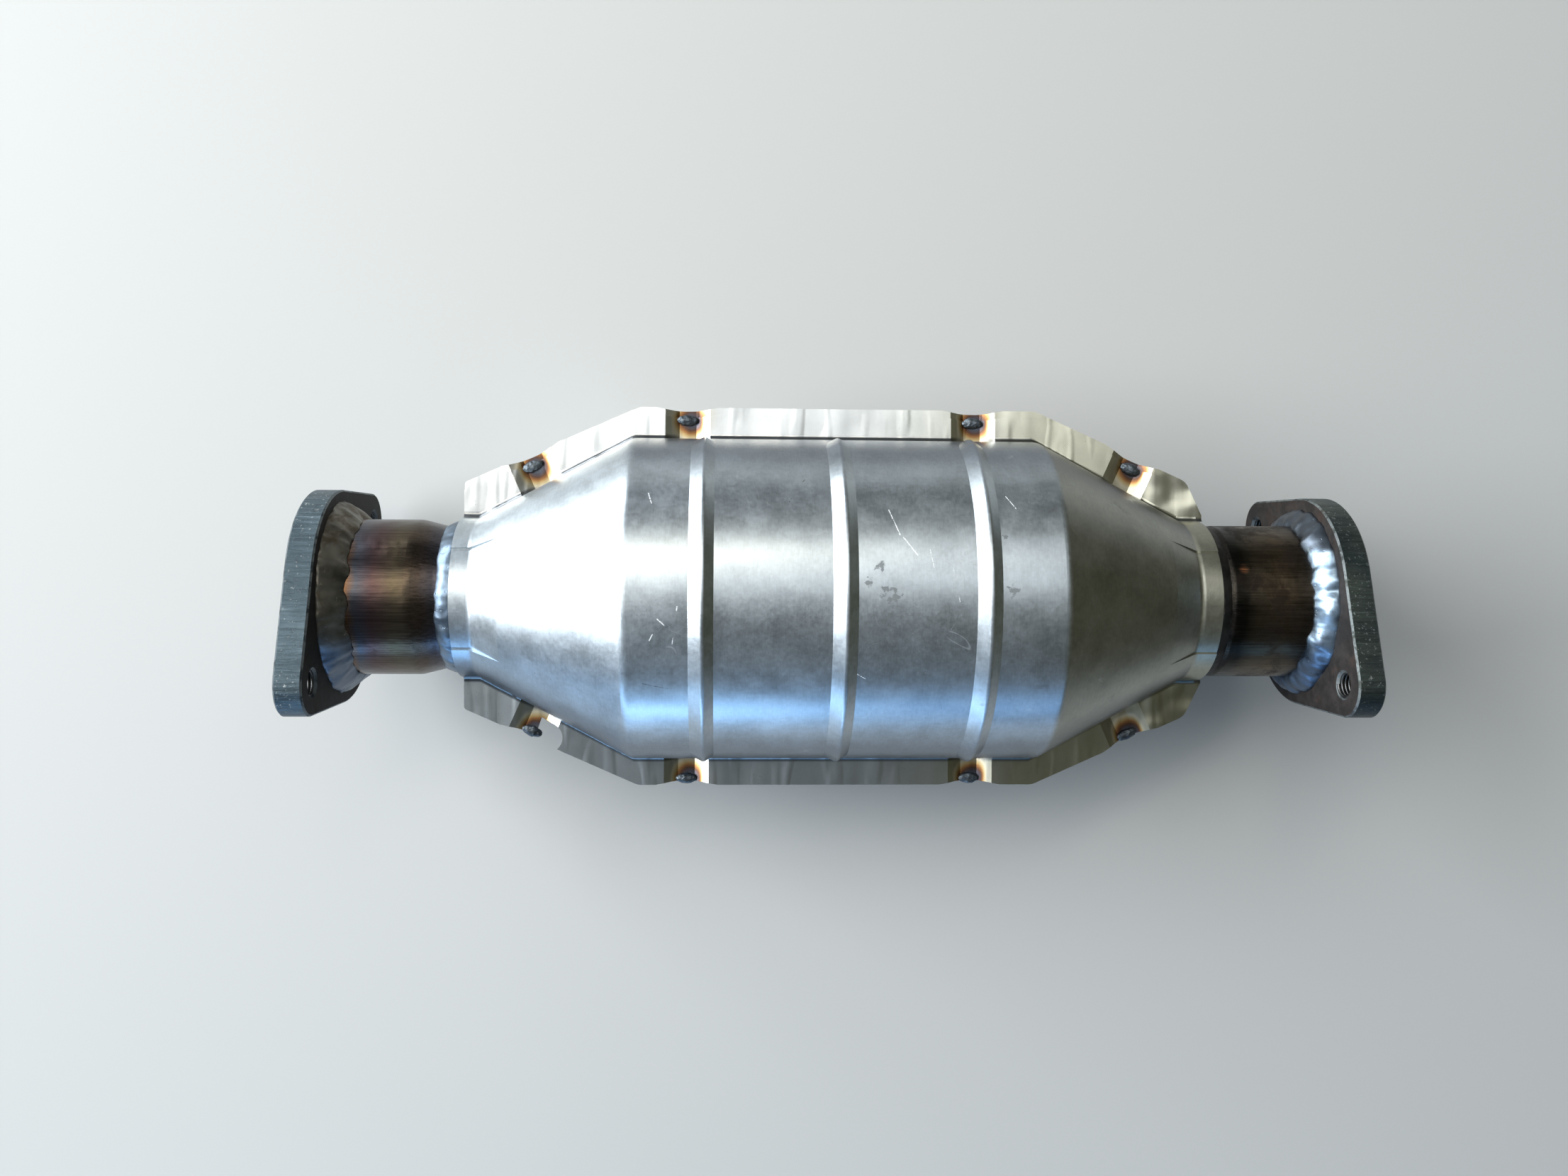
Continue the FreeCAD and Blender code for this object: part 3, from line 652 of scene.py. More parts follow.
# %% Where things are on the shield
shield, tree, shader, place = material("shield_sheet")
HEAT_DRIFT = Vector((1.2 * MM, 0.0, 0.0))
x, y, z = split(tree, place)
outline = shell_radius(tree, x)
across_shell = y.math("ABSOLUTE")
off_seam = z.math("ABSOLUTE")
in_seam = off_seam.smooth(2.7 * MM, 1.9 * MM)
left_side = y.smooth(-1.0 * MM, 1.0 * MM)
distance = near(tree, place, [centre + HEAT_DRIFT for centre, run, reach in tacks])
pocket = distance.smooth(12.0 * MM, 7.0 * MM) * z.smooth(0.3 * MM, -0.5 * MM)
root_gap = across_shell - outline
# Painted shade: this mask lays a dark band in the bent root where the shell meets its side flanges.
root = (root_gap.smooth(-1.8 * MM, 0.2 * MM) * root_gap.smooth(2.1 * MM, 0.9 * MM)
        * off_seam.smooth(3.4 * MM, 2.2 * MM))
past_cone = x.smooth(can_start - 6.0 * MM, can_start + 1.0 * MM)
outlet_end = x.smooth(barrel_edge_out - 1.0 * MM, barrel_edge_out + 1.5 * MM)
gold_end = x.smooth(can_middle, can_end + 12.0 * MM)
collar = x.smooth(outlet_bend_x - 0.8 * MM, outlet_bend_x + 0.4 * MM)
# Painted highlight: a bright line where the outlet cone turns into its collar, kept to a short
# patch.
bend_painted_highlight = (x - outlet_bend_x - 0.4 * MM).math("ABSOLUTE").smooth(1.1 * MM, 0.3 * MM)
bend_painted_highlight = bend_painted_highlight * (y - 6.0 * MM).math("ABSOLUTE").smooth(19.0 * MM, 9.0 * MM)
last_tack = max(centre.x for centre, run, reach in tacks)
strip_end = x.smooth(last_tack + 4.0 * MM, last_tack + 9.0 * MM)
tell("masks for the shield", tree)

# %% [markdown]
# The steel itself is almost neutral. Painted shade darkens the shell's flanks and blues the lower
# side of the inlet cone, and makes the outlet end darker and warmer. The side flanges are paler on
# the left, as painted light, than on the right. A painted highlight runs where the outlet cone
# turns into its collar, and painted shade darkens the pockets round the tacks.

# %% Bare steel of the shield
STEEL, OUTLET_PAINTED_SHADE = (0.530, 0.580, 0.620), (0.35, 0.345, 0.29)
FLANK_PAINTED_SHADE, CONE_PAINTED_SHADE = (0.42, 0.43, 0.46), (0.56, 0.66, 0.78)
COLLAR, BEND_PAINTED_HIGHLIGHT = (0.46, 0.44, 0.34), (0.95, 0.93, 0.80)
LEFT_STRIP_PAINTED_LIGHT, LEFT_STRIP_GOLD_PAINTED_LIGHT = (0.88, 0.89, 0.88), (0.80, 0.77, 0.62)
RIGHT_STRIP, RIGHT_STRIP_GOLD = (0.50, 0.54, 0.56), (0.40, 0.385, 0.28)
POCKET_PAINTED_SHADE = (0.60, 0.56, 0.46)
# Painted shade: the shell's flanks are darkened, and the lower side of the inlet cone is tinted
# blue-grey.
flank_painted_shade = (across_shell / outline).smooth(0.68, 0.90) * (left_side * (past_cone - 1.0) + 1.0)
cone_painted_shade = (y * -1.0 / outline).smooth(0.25, 0.70) * (past_cone * -1.0 + 1.0)
# Painted shade: the outlet end is darker and warmer, where it faces the dark end of the room.
base = blend(tree, outlet_end * 0.85, STEEL, OUTLET_PAINTED_SHADE)
base = layered(tree, base, [(flank_painted_shade, FLANK_PAINTED_SHADE), (cone_painted_shade * 0.8, CONE_PAINTED_SHADE)], "MULTIPLY")
base = layered(tree, base, [(collar * 0.55, COLLAR), (bend_painted_highlight * 0.9, BEND_PAINTED_HIGHLIGHT)])
# Painted light: the side flanges on the left are painted much paler than those on the right.
strips = blend(tree, left_side, blend(tree, gold_end, RIGHT_STRIP, RIGHT_STRIP_GOLD),
               blend(tree, gold_end, LEFT_STRIP_PAINTED_LIGHT, LEFT_STRIP_GOLD_PAINTED_LIGHT))
base = blend(tree, in_seam, base, strips)
# Painted shade: the pockets round the tacks are darkened.
base = blend(tree, pocket, base, POCKET_PAINTED_SHADE, "MULTIPLY")
grain = use(tree, sheet_grain, Place=place, Clouds=80.0, Grain=2300.0, Strength=0.9)
tone = grain["Tone"].smooth(0.0, 1.0, 0.72, 1.24) * (in_seam * -0.75 + 1.0) + in_seam * 0.75
base = blend(tree, 1.0, base, tone, "MULTIPLY")
tell("with bare steel", tree)

# %% [markdown]
# Over the steel lie dirt, smudges and scratches, and round the tacks the temper colours. Bump makes
# what is too fine to model: the grain, the cross wrinkles of the side flanges, the crushed corner
# past the last tack and the slow waves of a thin sheet.

# %% Film, dirt and bump of the shield
heat = distance.smooth(8.5 * MM, 1.5 * MM) * z.smooth(0.5 * MM, -0.9 * MM)
glow = distance.smooth(14.0 * MM, 5.0 * MM) * 0.14
oxide = use(tree, temper, Heat=heat * 0.80 + glow, Place=place, Unevenness=0.18)
dirt = use(tree, grime, Place=place, Scale=85.0, Amount=0.30, Edge=0.10)["Mask"]
hairs = use(tree, scratch_marks, Place=place, Scale=90.0, Width=0.0035, Amount=0.42)["Mask"]
white = most([scratched(tree, place, WHITE_SCRATCHES), hairs * (in_seam * -0.8 + 0.8)])
dark = scratched(tree, place, DARK_SCRATCHES)
soot_grain = noise(tree, place, 480.0, detail=3.0, roughness=0.6)
smudge = (soot_grain + smudged(tree, place, SMUDGES) * 0.28).smooth(0.72, 0.82)
# Of the layers below, the one on the root is painted shade.
colour = layered(tree, base, [
    (dirt * 0.30, (0.20, 0.20, 0.19)), (smudge * 0.60, (0.05, 0.052, 0.055)),
    (dark * 0.8, (0.06, 0.06, 0.06)), (root * 0.85, (0.10, 0.11, 0.125)),
    (white * 0.9, (0.95, 0.96, 0.98)), (oxide["Film"], oxide["Colour"])])
rough = grain["Rough"] * (in_seam * -0.17 + 0.20) + 0.36 + dirt * 0.10 + white * 0.25
rough = rough + smudge * 0.2 - in_seam * 0.08 + pocket * 0.16
dressed(tree, shader, Base_Color=colour, Roughness=rough,
        Metallic=white * -0.6 + 1.0 + smudge * -0.4)
drawn = mapped(tree, place, scale=(1.0, 0.22, 0.22))
waves = noise(tree, drawn, 75.0, detail=1.0, roughness=0.4) * 2.2
creases = noise(tree, drawn, 170.0, detail=1.0, roughness=0.4).smooth(0.48, 0.72) * 0.45
crushed = noise(tree, place, 80.0, detail=1.0, roughness=0.4) * 4.5
sheet_waves = noise(tree, place, 34.0, detail=2.0)
height = grain["Height"] * (in_seam * -0.05 + 0.06) + sheet_waves + white * 0.03 + dark * -0.06
bumped(tree, shader, height + (waves + creases + crushed * strip_end) * in_seam, 0.5 * MM, 0.8)
for name in ("heat_shield_upper", "heat_shield_lower"):
    paint(name, shield)
tell("shield_sheet", tree)

# %% [markdown]
# ### Pipe stubs
# The stubs were drawn, which leaves long marks along them, and then heated by the welds at both
# ends. So their colour runs along the pipe: blue-grey beside a weld, then purple, brown and gold
# away from it. The outlet stub is darker, with soot on it and one spot of rust by its neck, and its
# band next to the shield is near black as painted shadow.


# %% Pipe stubs
def pipe_finish(name, start, end, stops, soot, rust_point):
    """Drawn tube with bands between two stations: temper colours, and painted shadow where given."""
    made, tree, shader, place = material(name)
    x, y, z = split(tree, place)
    wander = noise(tree, place, 55.0, detail=4.0, roughness=0.6)
    along = (x - start) / (end - start) + (wander - 0.5) * 0.22
    bands = ramp(tree, along, stops)
    draw = noise(tree, mapped(tree, place, scale=(0.03, 1.0, 1.0)), 1500.0, detail=3.0,
                 roughness=0.7)
    marks = ramp(tree, draw, [
        (0.25, (0.55, 0.52, 0.50)), (0.55, (1.0, 1.0, 1.0)), (0.8, (1.35, 1.30, 1.25))])
    colour = blend(tree, 1.0, bands, marks, "MULTIPLY")
    dirt = use(tree, grime, Place=place, Scale=70.0, Amount=soot, Edge=0.16)["Mask"]
    spot = near(tree, place, [rust_point]).smooth(2.4 * MM, 0.4 * MM)
    rust = spot * draw.smooth(0.42, 0.60) * 0.4
    colour = layered(tree, colour, [
        (dirt * 0.75, (0.025, 0.018, 0.015)), (rust, (0.42, 0.13, 0.03))])
    dressed(tree, shader, Base_Color=colour, Metallic=rust * -0.9 + 1.0,
            Roughness=dirt * 0.25 + 0.22 + draw * 0.14 + rust * 0.4)
    uneven = noise(tree, place, 95.0, detail=2.0) * 5.0
    bumped(tree, shader, draw * 0.6 + dirt * 0.2 + uneven, 0.12 * MM, 0.7)
    tell(name, tree)
    return made


inlet_bands = [
    (0.0, (0.17, 0.070, 0.028)), (0.15, (0.15, 0.078, 0.036)), (0.24, (0.060, 0.064, 0.078)),
    (0.36, (0.078, 0.048, 0.048)), (0.56, (0.088, 0.070, 0.046)), (0.74, (0.076, 0.057, 0.046)),
    (0.90, (0.060, 0.062, 0.080)), (1.0, (0.14, 0.17, 0.22))]
# The two first stops, near black beside the shield, are painted shadow. The rest are temper colours.
outlet_bands = [
    (0.0, (0.020, 0.018, 0.016)), (0.16, (0.024, 0.022, 0.018)), (0.30, (0.09, 0.072, 0.050)),
    (0.55, (0.11, 0.08, 0.05)), (0.8, (0.07, 0.058, 0.045)), (1.0, (0.16, 0.17, 0.20))]
inlet_steel = pipe_finish("inlet_pipe_steel", inlet_back, shield_start, inlet_bands, 0.30,
                          (inlet_back + 7 * MM, 0.010, 0.026))
outlet_steel = pipe_finish("outlet_pipe_steel", shield_end, outlet_back, outlet_bands, 0.55,
                           (shield_end + 6 * MM, 0.012, 0.025))
paint("inlet_pipe", inlet_steel)
paint("outlet_pipe", outlet_steel)

# %% [markdown]
# ### Flange plates
# The plates were cut out with a torch or a laser. The cut rim is blue-grey and carries fine lines
# through its thickness. The flat faces kept their mill scale, near black with brown rust on it.
# The rim is told from the faces by the way the surface faces.


# %% Flange plates
def plate_finish(name, rust_amount, rim_colour, face_colour):
    """Cut plate: striped rim and scaly faces."""
    made, tree, shader, place = material(name, metallic=0.75)
    y = split(tree, place)[1]
    facing = split(tree, add(tree, "ShaderNodeNewGeometry", output="Normal"))[0].math("ABSOLUTE")
    face = facing.smooth(0.55, 0.85)
    lines = noise(tree, mapped(tree, place, scale=(0.05, 1.0, 1.0)), 1100.0, detail=4.0,
                  roughness=0.75)
    coarse = noise(tree, place, 210.0, detail=5.0, roughness=0.65)
    speck = use(tree, grime, Place=place, Scale=900.0, Amount=0.34, Edge=0.05)["Mask"]
    rust = use(tree, grime, Place=place, Scale=100.0, Amount=rust_amount, Edge=0.22)["Mask"]
    dark_rim = tuple(c * 0.42 for c in rim_colour)
    rim = ramp(tree, lines, [(0.3, dark_rim), (0.62, rim_colour), (0.85, (0.34, 0.40, 0.44))])
    # Painted reflection of the low blue sky: the rim turns navy towards its low end.
    painted_blue_low_end = (y + (coarse - 0.5) * 0.03).smooth(-32.0 * MM, -58.0 * MM)
    cloudy = noise(tree, place, 42.0, detail=2.0).smooth(0.60, 0.40)
    rim = layered(tree, rim, [
        (speck * 0.5, (0.62, 0.64, 0.62)), (coarse.smooth(0.55, 0.7) * 0.5, (0.05, 0.055, 0.06)),
        (painted_blue_low_end * 0.7, (0.022, 0.045, 0.085)), (cloudy * 0.55, (0.030, 0.042, 0.052))])
    dark_face = tuple(c * 0.5 for c in face_colour)
    soot = noise(tree, place, 60.0, detail=4.0, roughness=0.6).smooth(0.5, 0.62)
    scale = layered(tree, dark_face, [
        (coarse.smooth(0.3, 0.7), face_colour), (rust * 0.40, (0.095, 0.052, 0.036)),
        (soot * 0.7, (0.022, 0.020, 0.019))])
    # Painted highlight: a paler band on the slanted faces between the rim and the flat faces.
    chamfer_painted_highlight = facing.smooth(0.45, 0.6) * facing.smooth(0.9, 0.75) * coarse.smooth(0.38, 0.52)
    bare = layered(tree, rim, [(face, scale), (chamfer_painted_highlight * 0.30, (0.36, 0.40, 0.42))])
    dressed(tree, shader, Base_Color=bare, Metallic=face * -0.60 + 0.95, Specular_IOR_Level=0.3,
            Roughness=face * 0.22 + 0.40 + coarse * 0.1 + rust * face * 0.15)
    height = lines * 0.9 * (face * -1.0 + 1.0) + coarse * 0.55 + speck * 0.25
    bumped(tree, shader, height, 0.3 * MM, 0.9)
    tell(name, tree)
    return made


inlet_plate = plate_finish("inlet_plate_steel", 0.45, (0.115, 0.155, 0.180), (0.020, 0.016, 0.013))
outlet_plate = plate_finish("outlet_plate_steel", 0.50, (0.098, 0.120, 0.108),
                            (0.048, 0.041, 0.038))
paint("inlet_flange", inlet_plate)
paint("outlet_flange", outlet_plate)

# %% [markdown]
# ### Weld metal
# A bead freezes in slow lumps. Its metal is bright and blue-grey where it's clean, and brown or
# black where oxide and flux stay. Some beads are bluer on the right, as painted reflection of the
# low blue sky. The beads differ only in those few values, so one recipe makes them all.


# %% Weld metal
def weld_finish(name, bright, stain, shine, stained, clean_half=1.0, painted_blue_reflection=0.0):
    """Lumpy weld metal. It is clean to so far from the middle, and sooty past that."""
    made, tree, shader, place = material(name)
    y = split(tree, place)[1]
    lump = noise(tree, place, 160.0, detail=3.0, roughness=0.45)
    patch = use(tree, grime, Place=place, Scale=110.0, Amount=stained, Edge=0.25)["Mask"]
    pits = noise(tree, place, 700.0, detail=2.0).smooth(0.66, 0.76)
    soot = (y + (lump - 0.5) * 0.02).math("ABSOLUTE").smooth(clean_half, clean_half + 9.0 * MM)
    colour = ramp(tree, lump, [(0.3, tuple(c * 0.55 for c in bright)), (0.55, bright),
                               (0.75, tuple(min(c * 1.25, 0.9) for c in bright))])
    # The last layer is painted reflection: blue on the right-hand side, for the low blue sky.
    colour = layered(tree, colour, [
        (patch * 0.8, stain), (soot * 0.85, stain),
        (y.smooth(-9.0 * MM, -19.0 * MM) * painted_blue_reflection, (0.10, 0.16, 0.26))])
    dressed(tree, shader, Base_Color=colour, Roughness=lump * 0.25 + shine + patch * 0.2)
    bumped(tree, shader, lump * 0.5 - pits * 0.5, 0.35 * MM, 0.5)
    tell(name, tree)
    return made


inlet_bead = weld_finish("inlet_bead_metal", (0.19, 0.18, 0.155), (0.09, 0.066, 0.040), 0.32, 0.60,
                         painted_blue_reflection=0.5)
outlet_bead = weld_finish("outlet_bead_metal", (0.38, 0.50, 0.63), (0.055, 0.055, 0.062), 0.25,
                          0.30, clean_half=12.0 * MM, painted_blue_reflection=0.5)
neck_bead = weld_finish("neck_bead_metal", (0.17, 0.22, 0.28), (0.06, 0.055, 0.055), 0.27, 0.45)
# Painted shadow: the outlet neck bead is dark metal, darkened further for the shadow it sits in.
shadowed_dark_bead = weld_finish("dark_neck_bead_metal", (0.060, 0.058, 0.055), (0.03, 0.024, 0.02), 0.46,
                        0.5)
tack_metal = weld_finish("tack_metal", (0.125, 0.145, 0.165), (0.06, 0.055, 0.055), 0.34, 0.45)

# %% [markdown]
# ### What is hidden inside
# The can, its cones, mats, seals and bricks only show through the pipe ends. The bricks are
# honeycomb: a square grid of fine channels, which a Brick texture draws on their ends. The mats
# are pressed fibre and the seals knitted wire, so one noise gives each its colour and its bump.

# %% Inner pieces
can_sheet, tree, shader, place = material("can_sheet")
grain = use(tree, sheet_grain, Place=place, Clouds=60.0, Grain=1800.0, Strength=0.7)
straw = ramp(tree, grain["Tone"], [(0.2, (0.20, 0.17, 0.14)), (0.8, (0.46, 0.42, 0.36))])
dressed(tree, shader, Base_Color=straw, Roughness=grain["Rough"] * 0.2 + 0.42)
bumped(tree, shader, grain["Height"], 0.05 * MM, 0.6)

CHANNEL = 1.3 * MM
ceramic, tree, shader, place = material("ceramic_honeycomb", metallic=0.0)
end_on = mapped(tree, place, turn=(0.0, math.radians(90.0), 0.0))
brick = {"Vector": end_on, "Scale": 1.0 / CHANNEL, "Brick_Width": 1.0, "Row_Height": 1.0,
         "Mortar_Size": 0.09, "Color1": (0.03, 0.025, 0.02), "Color2": (0.045, 0.035, 0.03),
         "Mortar": (0.62, 0.53, 0.40)}
channels = add(tree, "ShaderNodeTexBrick", "Color", {"offset": 0.0}, **brick)
dressed(tree, shader, Base_Color=channels, Roughness=0.9)
walls = Wire(tree, channels.socket.node.outputs["Fac"])
bumped(tree, shader, walls, 0.3 * MM, 0.8)

fibre, tree, shader, place = material("fibre_mat", metallic=0.0)
wool = noise(tree, place, 900.0, detail=5.0, roughness=0.7)
tufts = ramp(tree, wool, [(0.3, (0.36, 0.34, 0.29)), (0.7, (0.64, 0.61, 0.54))])
dressed(tree, shader, Base_Color=tufts, Roughness=0.95)
bumped(tree, shader, wool, 0.4 * MM)

wire, tree, shader, place = material("knitted_wire")
knit = noise(tree, place, 1600.0, detail=3.0, roughness=0.8)
strands = ramp(tree, knit, [(0.4, (0.05, 0.05, 0.045)), (0.6, (0.45, 0.44, 0.42))])
dressed(tree, shader, Base_Color=strands, Roughness=knit * 0.3 + 0.35)
bumped(tree, shader, knit, 0.4 * MM)

for made, names in (
        (can_sheet, ("inlet_cone", "outlet_cone", "can_shell", "brick_spacer")),
        (neck_bead, ("inlet_can_weld", "outlet_can_weld")),
        (ceramic, ("front_brick", "rear_brick")),
        (fibre, ("front_mat", "rear_mat")),
        (wire, ("front_mesh_seal", "rear_mesh_seal"))):
    for name in names:
        paint(name, made)
print("inner pieces painted")

# %% [markdown]
# ## Geometry trees
# Weld beads, tack drops and threads are forms that a rule can grow. Each rule is a Geometry Nodes
# tree with named inputs. It runs on a small base mesh, and what it grows is kept as a plain mesh.


# %% Start and end of a geometry tree
def geometry_tree(name, inputs):
    """A blank geometry tree: a mesh goes in, a mesh comes out."""
    mesh = ("Geometry", "NodeSocketGeometry")
    return new_tree(name, "GeometryNodeTree", [mesh, *inputs], [mesh])


def then(tree, shape, kind, **inputs):
    """Sends a geometry through one more node."""
    wire = add(tree, kind, **inputs)
    plug(tree, shape, wire.socket.node.inputs[0])
    return wire


def coated(tree, shape, metal, leave):
    """The end of every tree: real geometry with its material on."""
    real = then(tree, shape, "GeometryNodeRealizeInstances")
    plug(tree, then(tree, real, "GeometryNodeSetMaterial", Material=metal), leave.inputs[0])
    tell(tree.name, tree)


def grown(name, tree, base, **values):
    """Runs a tree on a base mesh and keeps the result as a plain mesh at the origin."""
    holder = placed(name + "_base", base)
    modifier = holder.modifiers.new("grow", "NODES")
    modifier.node_group = tree
    for item in tree.interface.items_tree:
        if item.in_out == "INPUT" and item.name.replace(" ", "_") in values:
            modifier[item.identifier] = values[item.name.replace(" ", "_")]
    depsgraph = bpy.context.evaluated_depsgraph_get()
    mesh = bpy.data.meshes.new_from_object(holder.evaluated_get(depsgraph))
    bpy.data.objects.remove(holder)
    mesh.name = name
    piece = placed(name, mesh)
    print(name + ":", len(mesh.vertices), "points,", len(mesh.polygons), "faces")
    return piece


def facing_out(piece):
    """Turns every face of a closed piece outwards."""
    shape = bmesh.new()
    shape.from_mesh(piece.data)
    bmesh.ops.dissolve_degenerate(shape, dist=0.002 * MM, edges=shape.edges)
    bmesh.ops.recalc_face_normals(shape, faces=shape.faces)
    shape.to_mesh(piece.data)
    shape.free()
    return piece


MATERIAL = "NodeSocketMaterial"

# %% [markdown]
# ## Weld beads
# A bead is laid by hand in a ring, so it's never even: its toes wander, its crown rises and falls
# in slow lumps, and the stops of the torch leave only the faintest ripple. Its section is flatter
# than a circle, by the power called Flat. The tree wraps a flat grid into the ring: one direction
# of the grid goes round the pipe and the other goes round the bead's own section. The same tree
# makes all four beads from their sizes.

# %% Bead tree
FULL_TURN = 2 * math.pi
ROUND_COUNT = 900
SECTION_COUNT = 34
bead_tree, ins, leave = geometry_tree("weld_bead", [
    ("Station", FLOAT, 0.0), ("Away", FLOAT, 1.0), ("Pipe", FLOAT, 0.0274),
    ("Leg along", FLOAT, 0.006), ("Leg out", FLOAT, 0.005), ("Sink", FLOAT, 0.0006),
    ("Stops", FLOAT, 60.0), ("Ripple", FLOAT, 0.00018), ("Wander", FLOAT, 0.0009),
    ("Seed", FLOAT, 0.0), ("Flat", FLOAT, 0.0), ("Metal", MATERIAL)])
grid = add(bead_tree, "GeometryNodeMeshGrid", "Mesh", Size_X=1.0, Size_Y=1.0,
           Vertices_X=ROUND_COUNT + 1, Vertices_Y=SECTION_COUNT + 1)
flat = split(bead_tree, add(bead_tree, "GeometryNodeInputPosition"))
turn = (flat[0] + 0.5) * FULL_TURN
way = (flat[1] + 0.5) * FULL_TURN
cosine, sine = turn.math("COSINE"), turn.math("SINE")
section_cos, section_sin = way.math("COSINE"), way.math("SINE")
circle = joined(bead_tree, ins["Seed"], cosine, sine)
slow = noise(bead_tree, circle, 2.6, detail=2.0) - 0.5
quick = noise(bead_tree, circle, 5.0, detail=1.0) - 0.5
knob_place = joined(bead_tree, ins["Seed"] + section_cos * 0.22, cosine, sine + section_sin * 0.22)
knob = noise(bead_tree, knob_place, 5.5, detail=1.0) - 0.5
chevron = section_cos * section_sin * 1.2
phase = (turn / FULL_TURN * ins["Stops"] + slow * 1.5 + chevron).math("FRACT")
ripple = (phase * -1.0 + 1.0).math("POWER", 2.0) * ins["Ripple"]
along_leg = ins["Leg along"] + (slow * 2.2 + quick * 1.1 + knob * 0.9) * ins["Wander"] + ripple
out_leg = ins["Leg out"] + (slow * -1.2 + quick * 1.0 + knob * 0.9) * ins["Wander"] + ripple
flat_sin = section_sin * section_sin.math("ABSOLUTE").math("POWER", ins["Flat"])
flat_cos = section_cos * section_cos.math("ABSOLUTE").math("POWER", ins["Flat"])
radius = (ins["Pipe"] + flat_sin * out_leg).math("MAXIMUM", ins["Pipe"] - ins["Sink"])
reach = (flat_cos * along_leg).math("MAXIMUM", ins["Sink"] * -1.0)
ringed = joined(bead_tree, ins["Station"] + reach * ins["Away"], radius * cosine, radius * sine)
ring = then(bead_tree, grid, "GeometryNodeSetPosition", Position=ringed)
ring = then(bead_tree, ring, "GeometryNodeMergeByDistance", Distance=0.01 * MM)
ring = then(bead_tree, ring, "GeometryNodeSetShadeSmooth")
coated(bead_tree, ring, ins["Metal"], leave)

# %% [markdown]
# ### Beads at the plates
# Each plate is welded to its pipe with a fillet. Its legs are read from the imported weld. The inlet
# bead was laid wider and lumpier than the outlet one.


# %% Beads at the plates
def bead_piece(name, node_name, metal, **sizes):
    """One ring of weld, from its seat on the pipe and its two legs. It replaces the CAD weld."""
    base = bpy.data.meshes.new(name + "_seed")
    piece = facing_out(grown(name, bead_tree, base, Metal=metal, **sizes))
    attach(piece, "root")
    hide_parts(node_name)


low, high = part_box("inlet_flange_weld")
leg_along, leg_out = high[0] - inlet_back, high[1] - pipe_radius
bead_piece("inlet_flange_bead", "inlet_flange_weld", inlet_bead, Station=inlet_back, Away=1.0,
           Pipe=pipe_radius, Leg_along=leg_along * 1.28, Leg_out=leg_out * 1.12, Stops=34.0,
           Ripple=0.03 * MM, Wander=1.9 * MM, Seed=1.3, Flat=0.70)
bead_piece("outlet_flange_bead", "outlet_flange_weld", outlet_bead, Station=outlet_back, Away=-1.0,
           Pipe=pipe_radius, Leg_along=leg_along * 1.05, Leg_out=leg_out * 1.02, Stops=40.0,
           Ripple=0.035 * MM, Wander=2.0 * MM, Seed=5.9, Flat=0.30)

# %% [markdown]
# ### Beads at the necks
# Each pipe laps the neck of its cone, and a small bead runs along the neck's end. It starts just
# inside that end, so no gap shows between bead and sheet. The one at the outlet is dark with soot,
# and darkened further as painted shadow.

# %% Beads at the necks
BEAD_OVERLAP = 0.5 * MM
BEAD_LIFT = 0.2 * MM
low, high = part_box("inlet_neck_weld")
bead_piece("inlet_neck_bead", "inlet_neck_weld", neck_bead, Station=INLET_NECK_END + BEAD_OVERLAP,
           Away=-1.0, Pipe=INLET_NECK_SEAT, Leg_along=INLET_NECK_END + BEAD_OVERLAP - low[0],
           Leg_out=high[1] - INLET_NECK_SEAT + BEAD_LIFT, Stops=60.0, Ripple=0.02 * MM,
           Wander=1.0 * MM, Seed=3.7, Flat=0.25)
low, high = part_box("outlet_neck_weld")
bead_piece("outlet_neck_bead", "outlet_neck_weld", shadowed_dark_bead,
           Station=OUTLET_NECK_END - BEAD_OVERLAP, Away=1.0, Pipe=OUTLET_NECK_SEAT,
           Leg_along=high[0] - OUTLET_NECK_END + BEAD_OVERLAP, Leg_out=high[1] - OUTLET_NECK_SEAT,
           Stops=60.0, Ripple=0.03 * MM, Wander=0.8 * MM, Seed=9.1, Flat=0.90)

# %% [markdown]
# ## Tack welds
# Each tack is one drop of weld metal across the edge of the upper sheet. All eight come from one
# tree: it sets an icosphere on every point, turned along the sheet's edge and stretched, and then
# pushes its skin about with noise, so no two are alike.

# %% Tack tree
tack_tree, ins, leave = geometry_tree("tack_drop", [
    ("Thick", FLOAT, 0.0019), ("Lumps", FLOAT, 0.0006), ("Metal", MATERIAL)])
FLATNESS = 0.62
drop = add(tack_tree, "GeometryNodeMeshIcoSphere", "Mesh", Radius=1.0, Subdivisions=5)
run = add(tack_tree, "GeometryNodeInputNamedAttribute", "Attribute",
          {"data_type": "FLOAT_VECTOR"}, Name="run")
half_length = add(tack_tree, "GeometryNodeInputNamedAttribute", "Attribute",
                  {"data_type": "FLOAT"}, Name="half_length")
aim = add(tack_tree, "FunctionNodeAlignRotationToVector", settings={"axis": "X"}, Vector=run)
size = joined(tack_tree, half_length, ins["Thick"], ins["Thick"] * FLATNESS)
drops = then(tack_tree, ins["Geometry"], "GeometryNodeInstanceOnPoints", Instance=drop,
             Rotation=aim, Scale=size)
drops = then(tack_tree, drops, "GeometryNodeRealizeInstances")
where = add(tack_tree, "GeometryNodeInputPosition")
bumps = noise(tack_tree, where, 420.0, detail=3.0, roughness=0.55) - 0.5
outward = vector_math(tack_tree, "SCALE", add(tack_tree, "GeometryNodeInputNormal"),
                      Scale=bumps * ins["Lumps"] * 2.0)
drops = then(tack_tree, drops, "GeometryNodeSetPosition", Offset=outward)
drops = then(tack_tree, drops, "GeometryNodeSetShadeSmooth")
coated(tack_tree, drops, ins["Metal"], leave)

# %% [markdown]
# ### The eight drops
# The points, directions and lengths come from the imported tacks, and ride on each point as
# attributes that the tree reads.

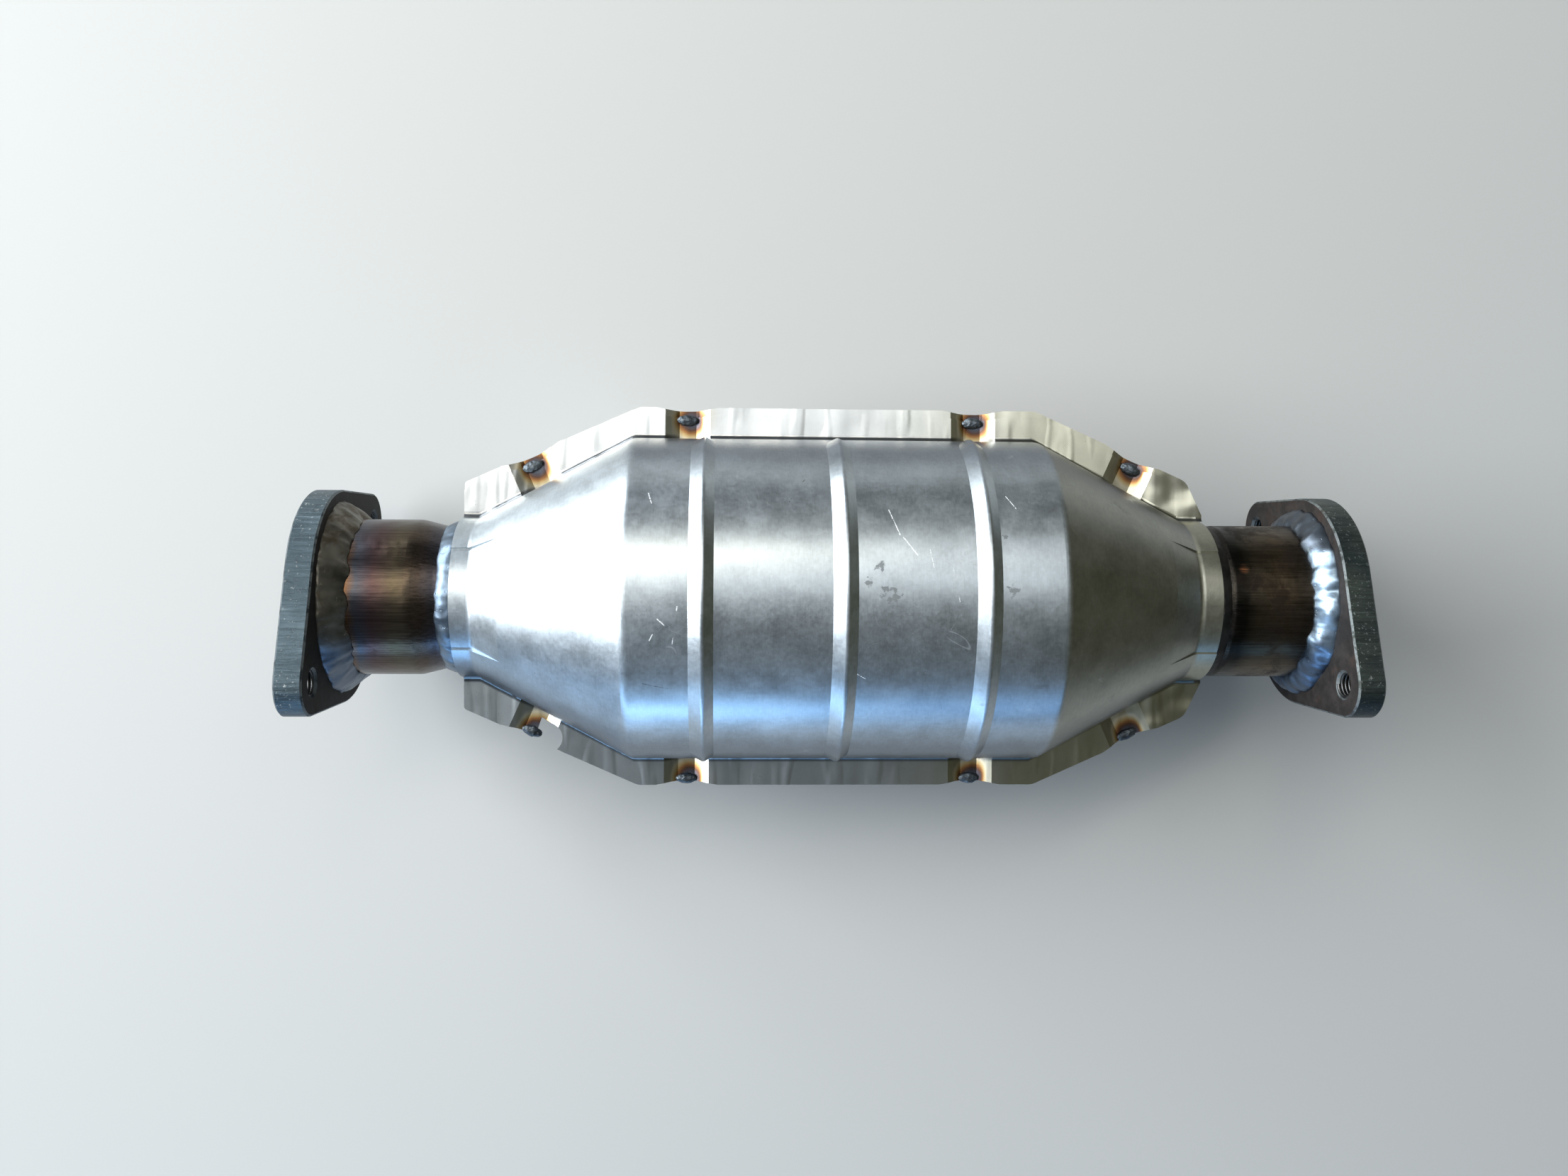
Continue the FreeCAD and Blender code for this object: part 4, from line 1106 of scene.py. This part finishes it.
# %% Eight tacks
for side, node_name in (("left", "left_seam_tacks"), ("right", "right_seam_tacks")):
    lumps = islands(node_name)
    seeds = bpy.data.meshes.new(side + "_tack_points")
    seeds.from_pydata([tuple(centre) for centre, run_way, reach in lumps], [], [])
    seeds.attributes.new("run", "FLOAT_VECTOR", "POINT")
    seeds.attributes.new("half_length", "FLOAT", "POINT")
    for index, (centre, run_way, reach) in enumerate(lumps):
        seeds.attributes["run"].data[index].vector = run_way
        seeds.attributes["half_length"].data[index].value = reach
    drops = grown(side + "_tack_drops", tack_tree, seeds, Metal=tack_metal)
    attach(drops, "root")
    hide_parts(node_name)

# %% [markdown]
# ## Threads
# The holes in the plates are tapped. A thread is a helix, so one spiral with a small six-sided
# wire swept along it makes each of them. The helix is grown upright by Geometry Nodes and then
# laid along the pipe axis, in the hole.

# %% Thread tree
thread_tree, ins, leave = geometry_tree("thread", [
    ("Radius", FLOAT, 0.0042), ("Pitch", FLOAT, 0.00125), ("Length", FLOAT, 0.009),
    ("Depth", FLOAT, 0.0005), ("Start", VECTOR), ("Metal", MATERIAL)])
spiral = add(thread_tree, "GeometryNodeCurveSpiral", Resolution=40,
             Rotations=ins["Length"] / ins["Pitch"], Start_Radius=ins["Radius"],
             End_Radius=ins["Radius"], Height=ins["Length"])
crest = add(thread_tree, "GeometryNodeCurvePrimitiveCircle", "Curve", Resolution=6,
            Radius=ins["Depth"])
helix = then(thread_tree, spiral, "GeometryNodeCurveToMesh", Profile_Curve=crest, Fill_Caps=True)
helix = then(thread_tree, helix, "GeometryNodeTransform", Rotation=(0.0, math.radians(90.0), 0.0),
             Translation=ins["Start"])
coated(thread_tree, helix, ins["Metal"], leave)

# %% [markdown]
# ### Two threads in each plate
# A plate starts at its gasket face, so the inlet plate's back is also its thickness. The thread
# starts and ends a little inside the faces.

# %% Four threads
THREAD_INSET = 0.4 * MM
thread_length = inlet_back - 1.4 * MM
thread_metal = weld_finish("thread_metal", (0.12, 0.12, 0.12), (0.05, 0.04, 0.035), 0.26, 0.4)
for end_name, start in (("inlet", 0.0), ("outlet", outlet_back)):
    for number, angle in ((1, BOLT_LEAN), (2, BOLT_LEAN + math.pi)):
        hole = Vector((start + THREAD_INSET, BOLT_RADIUS * math.cos(angle),
                       BOLT_RADIUS * math.sin(angle)))
        base = bpy.data.meshes.new("thread_seed")
        thread = facing_out(grown(f"{end_name}_thread_{number}", thread_tree, base, Start=hole,
                                  Length=thread_length, Metal=thread_metal))
        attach(thread, "root")
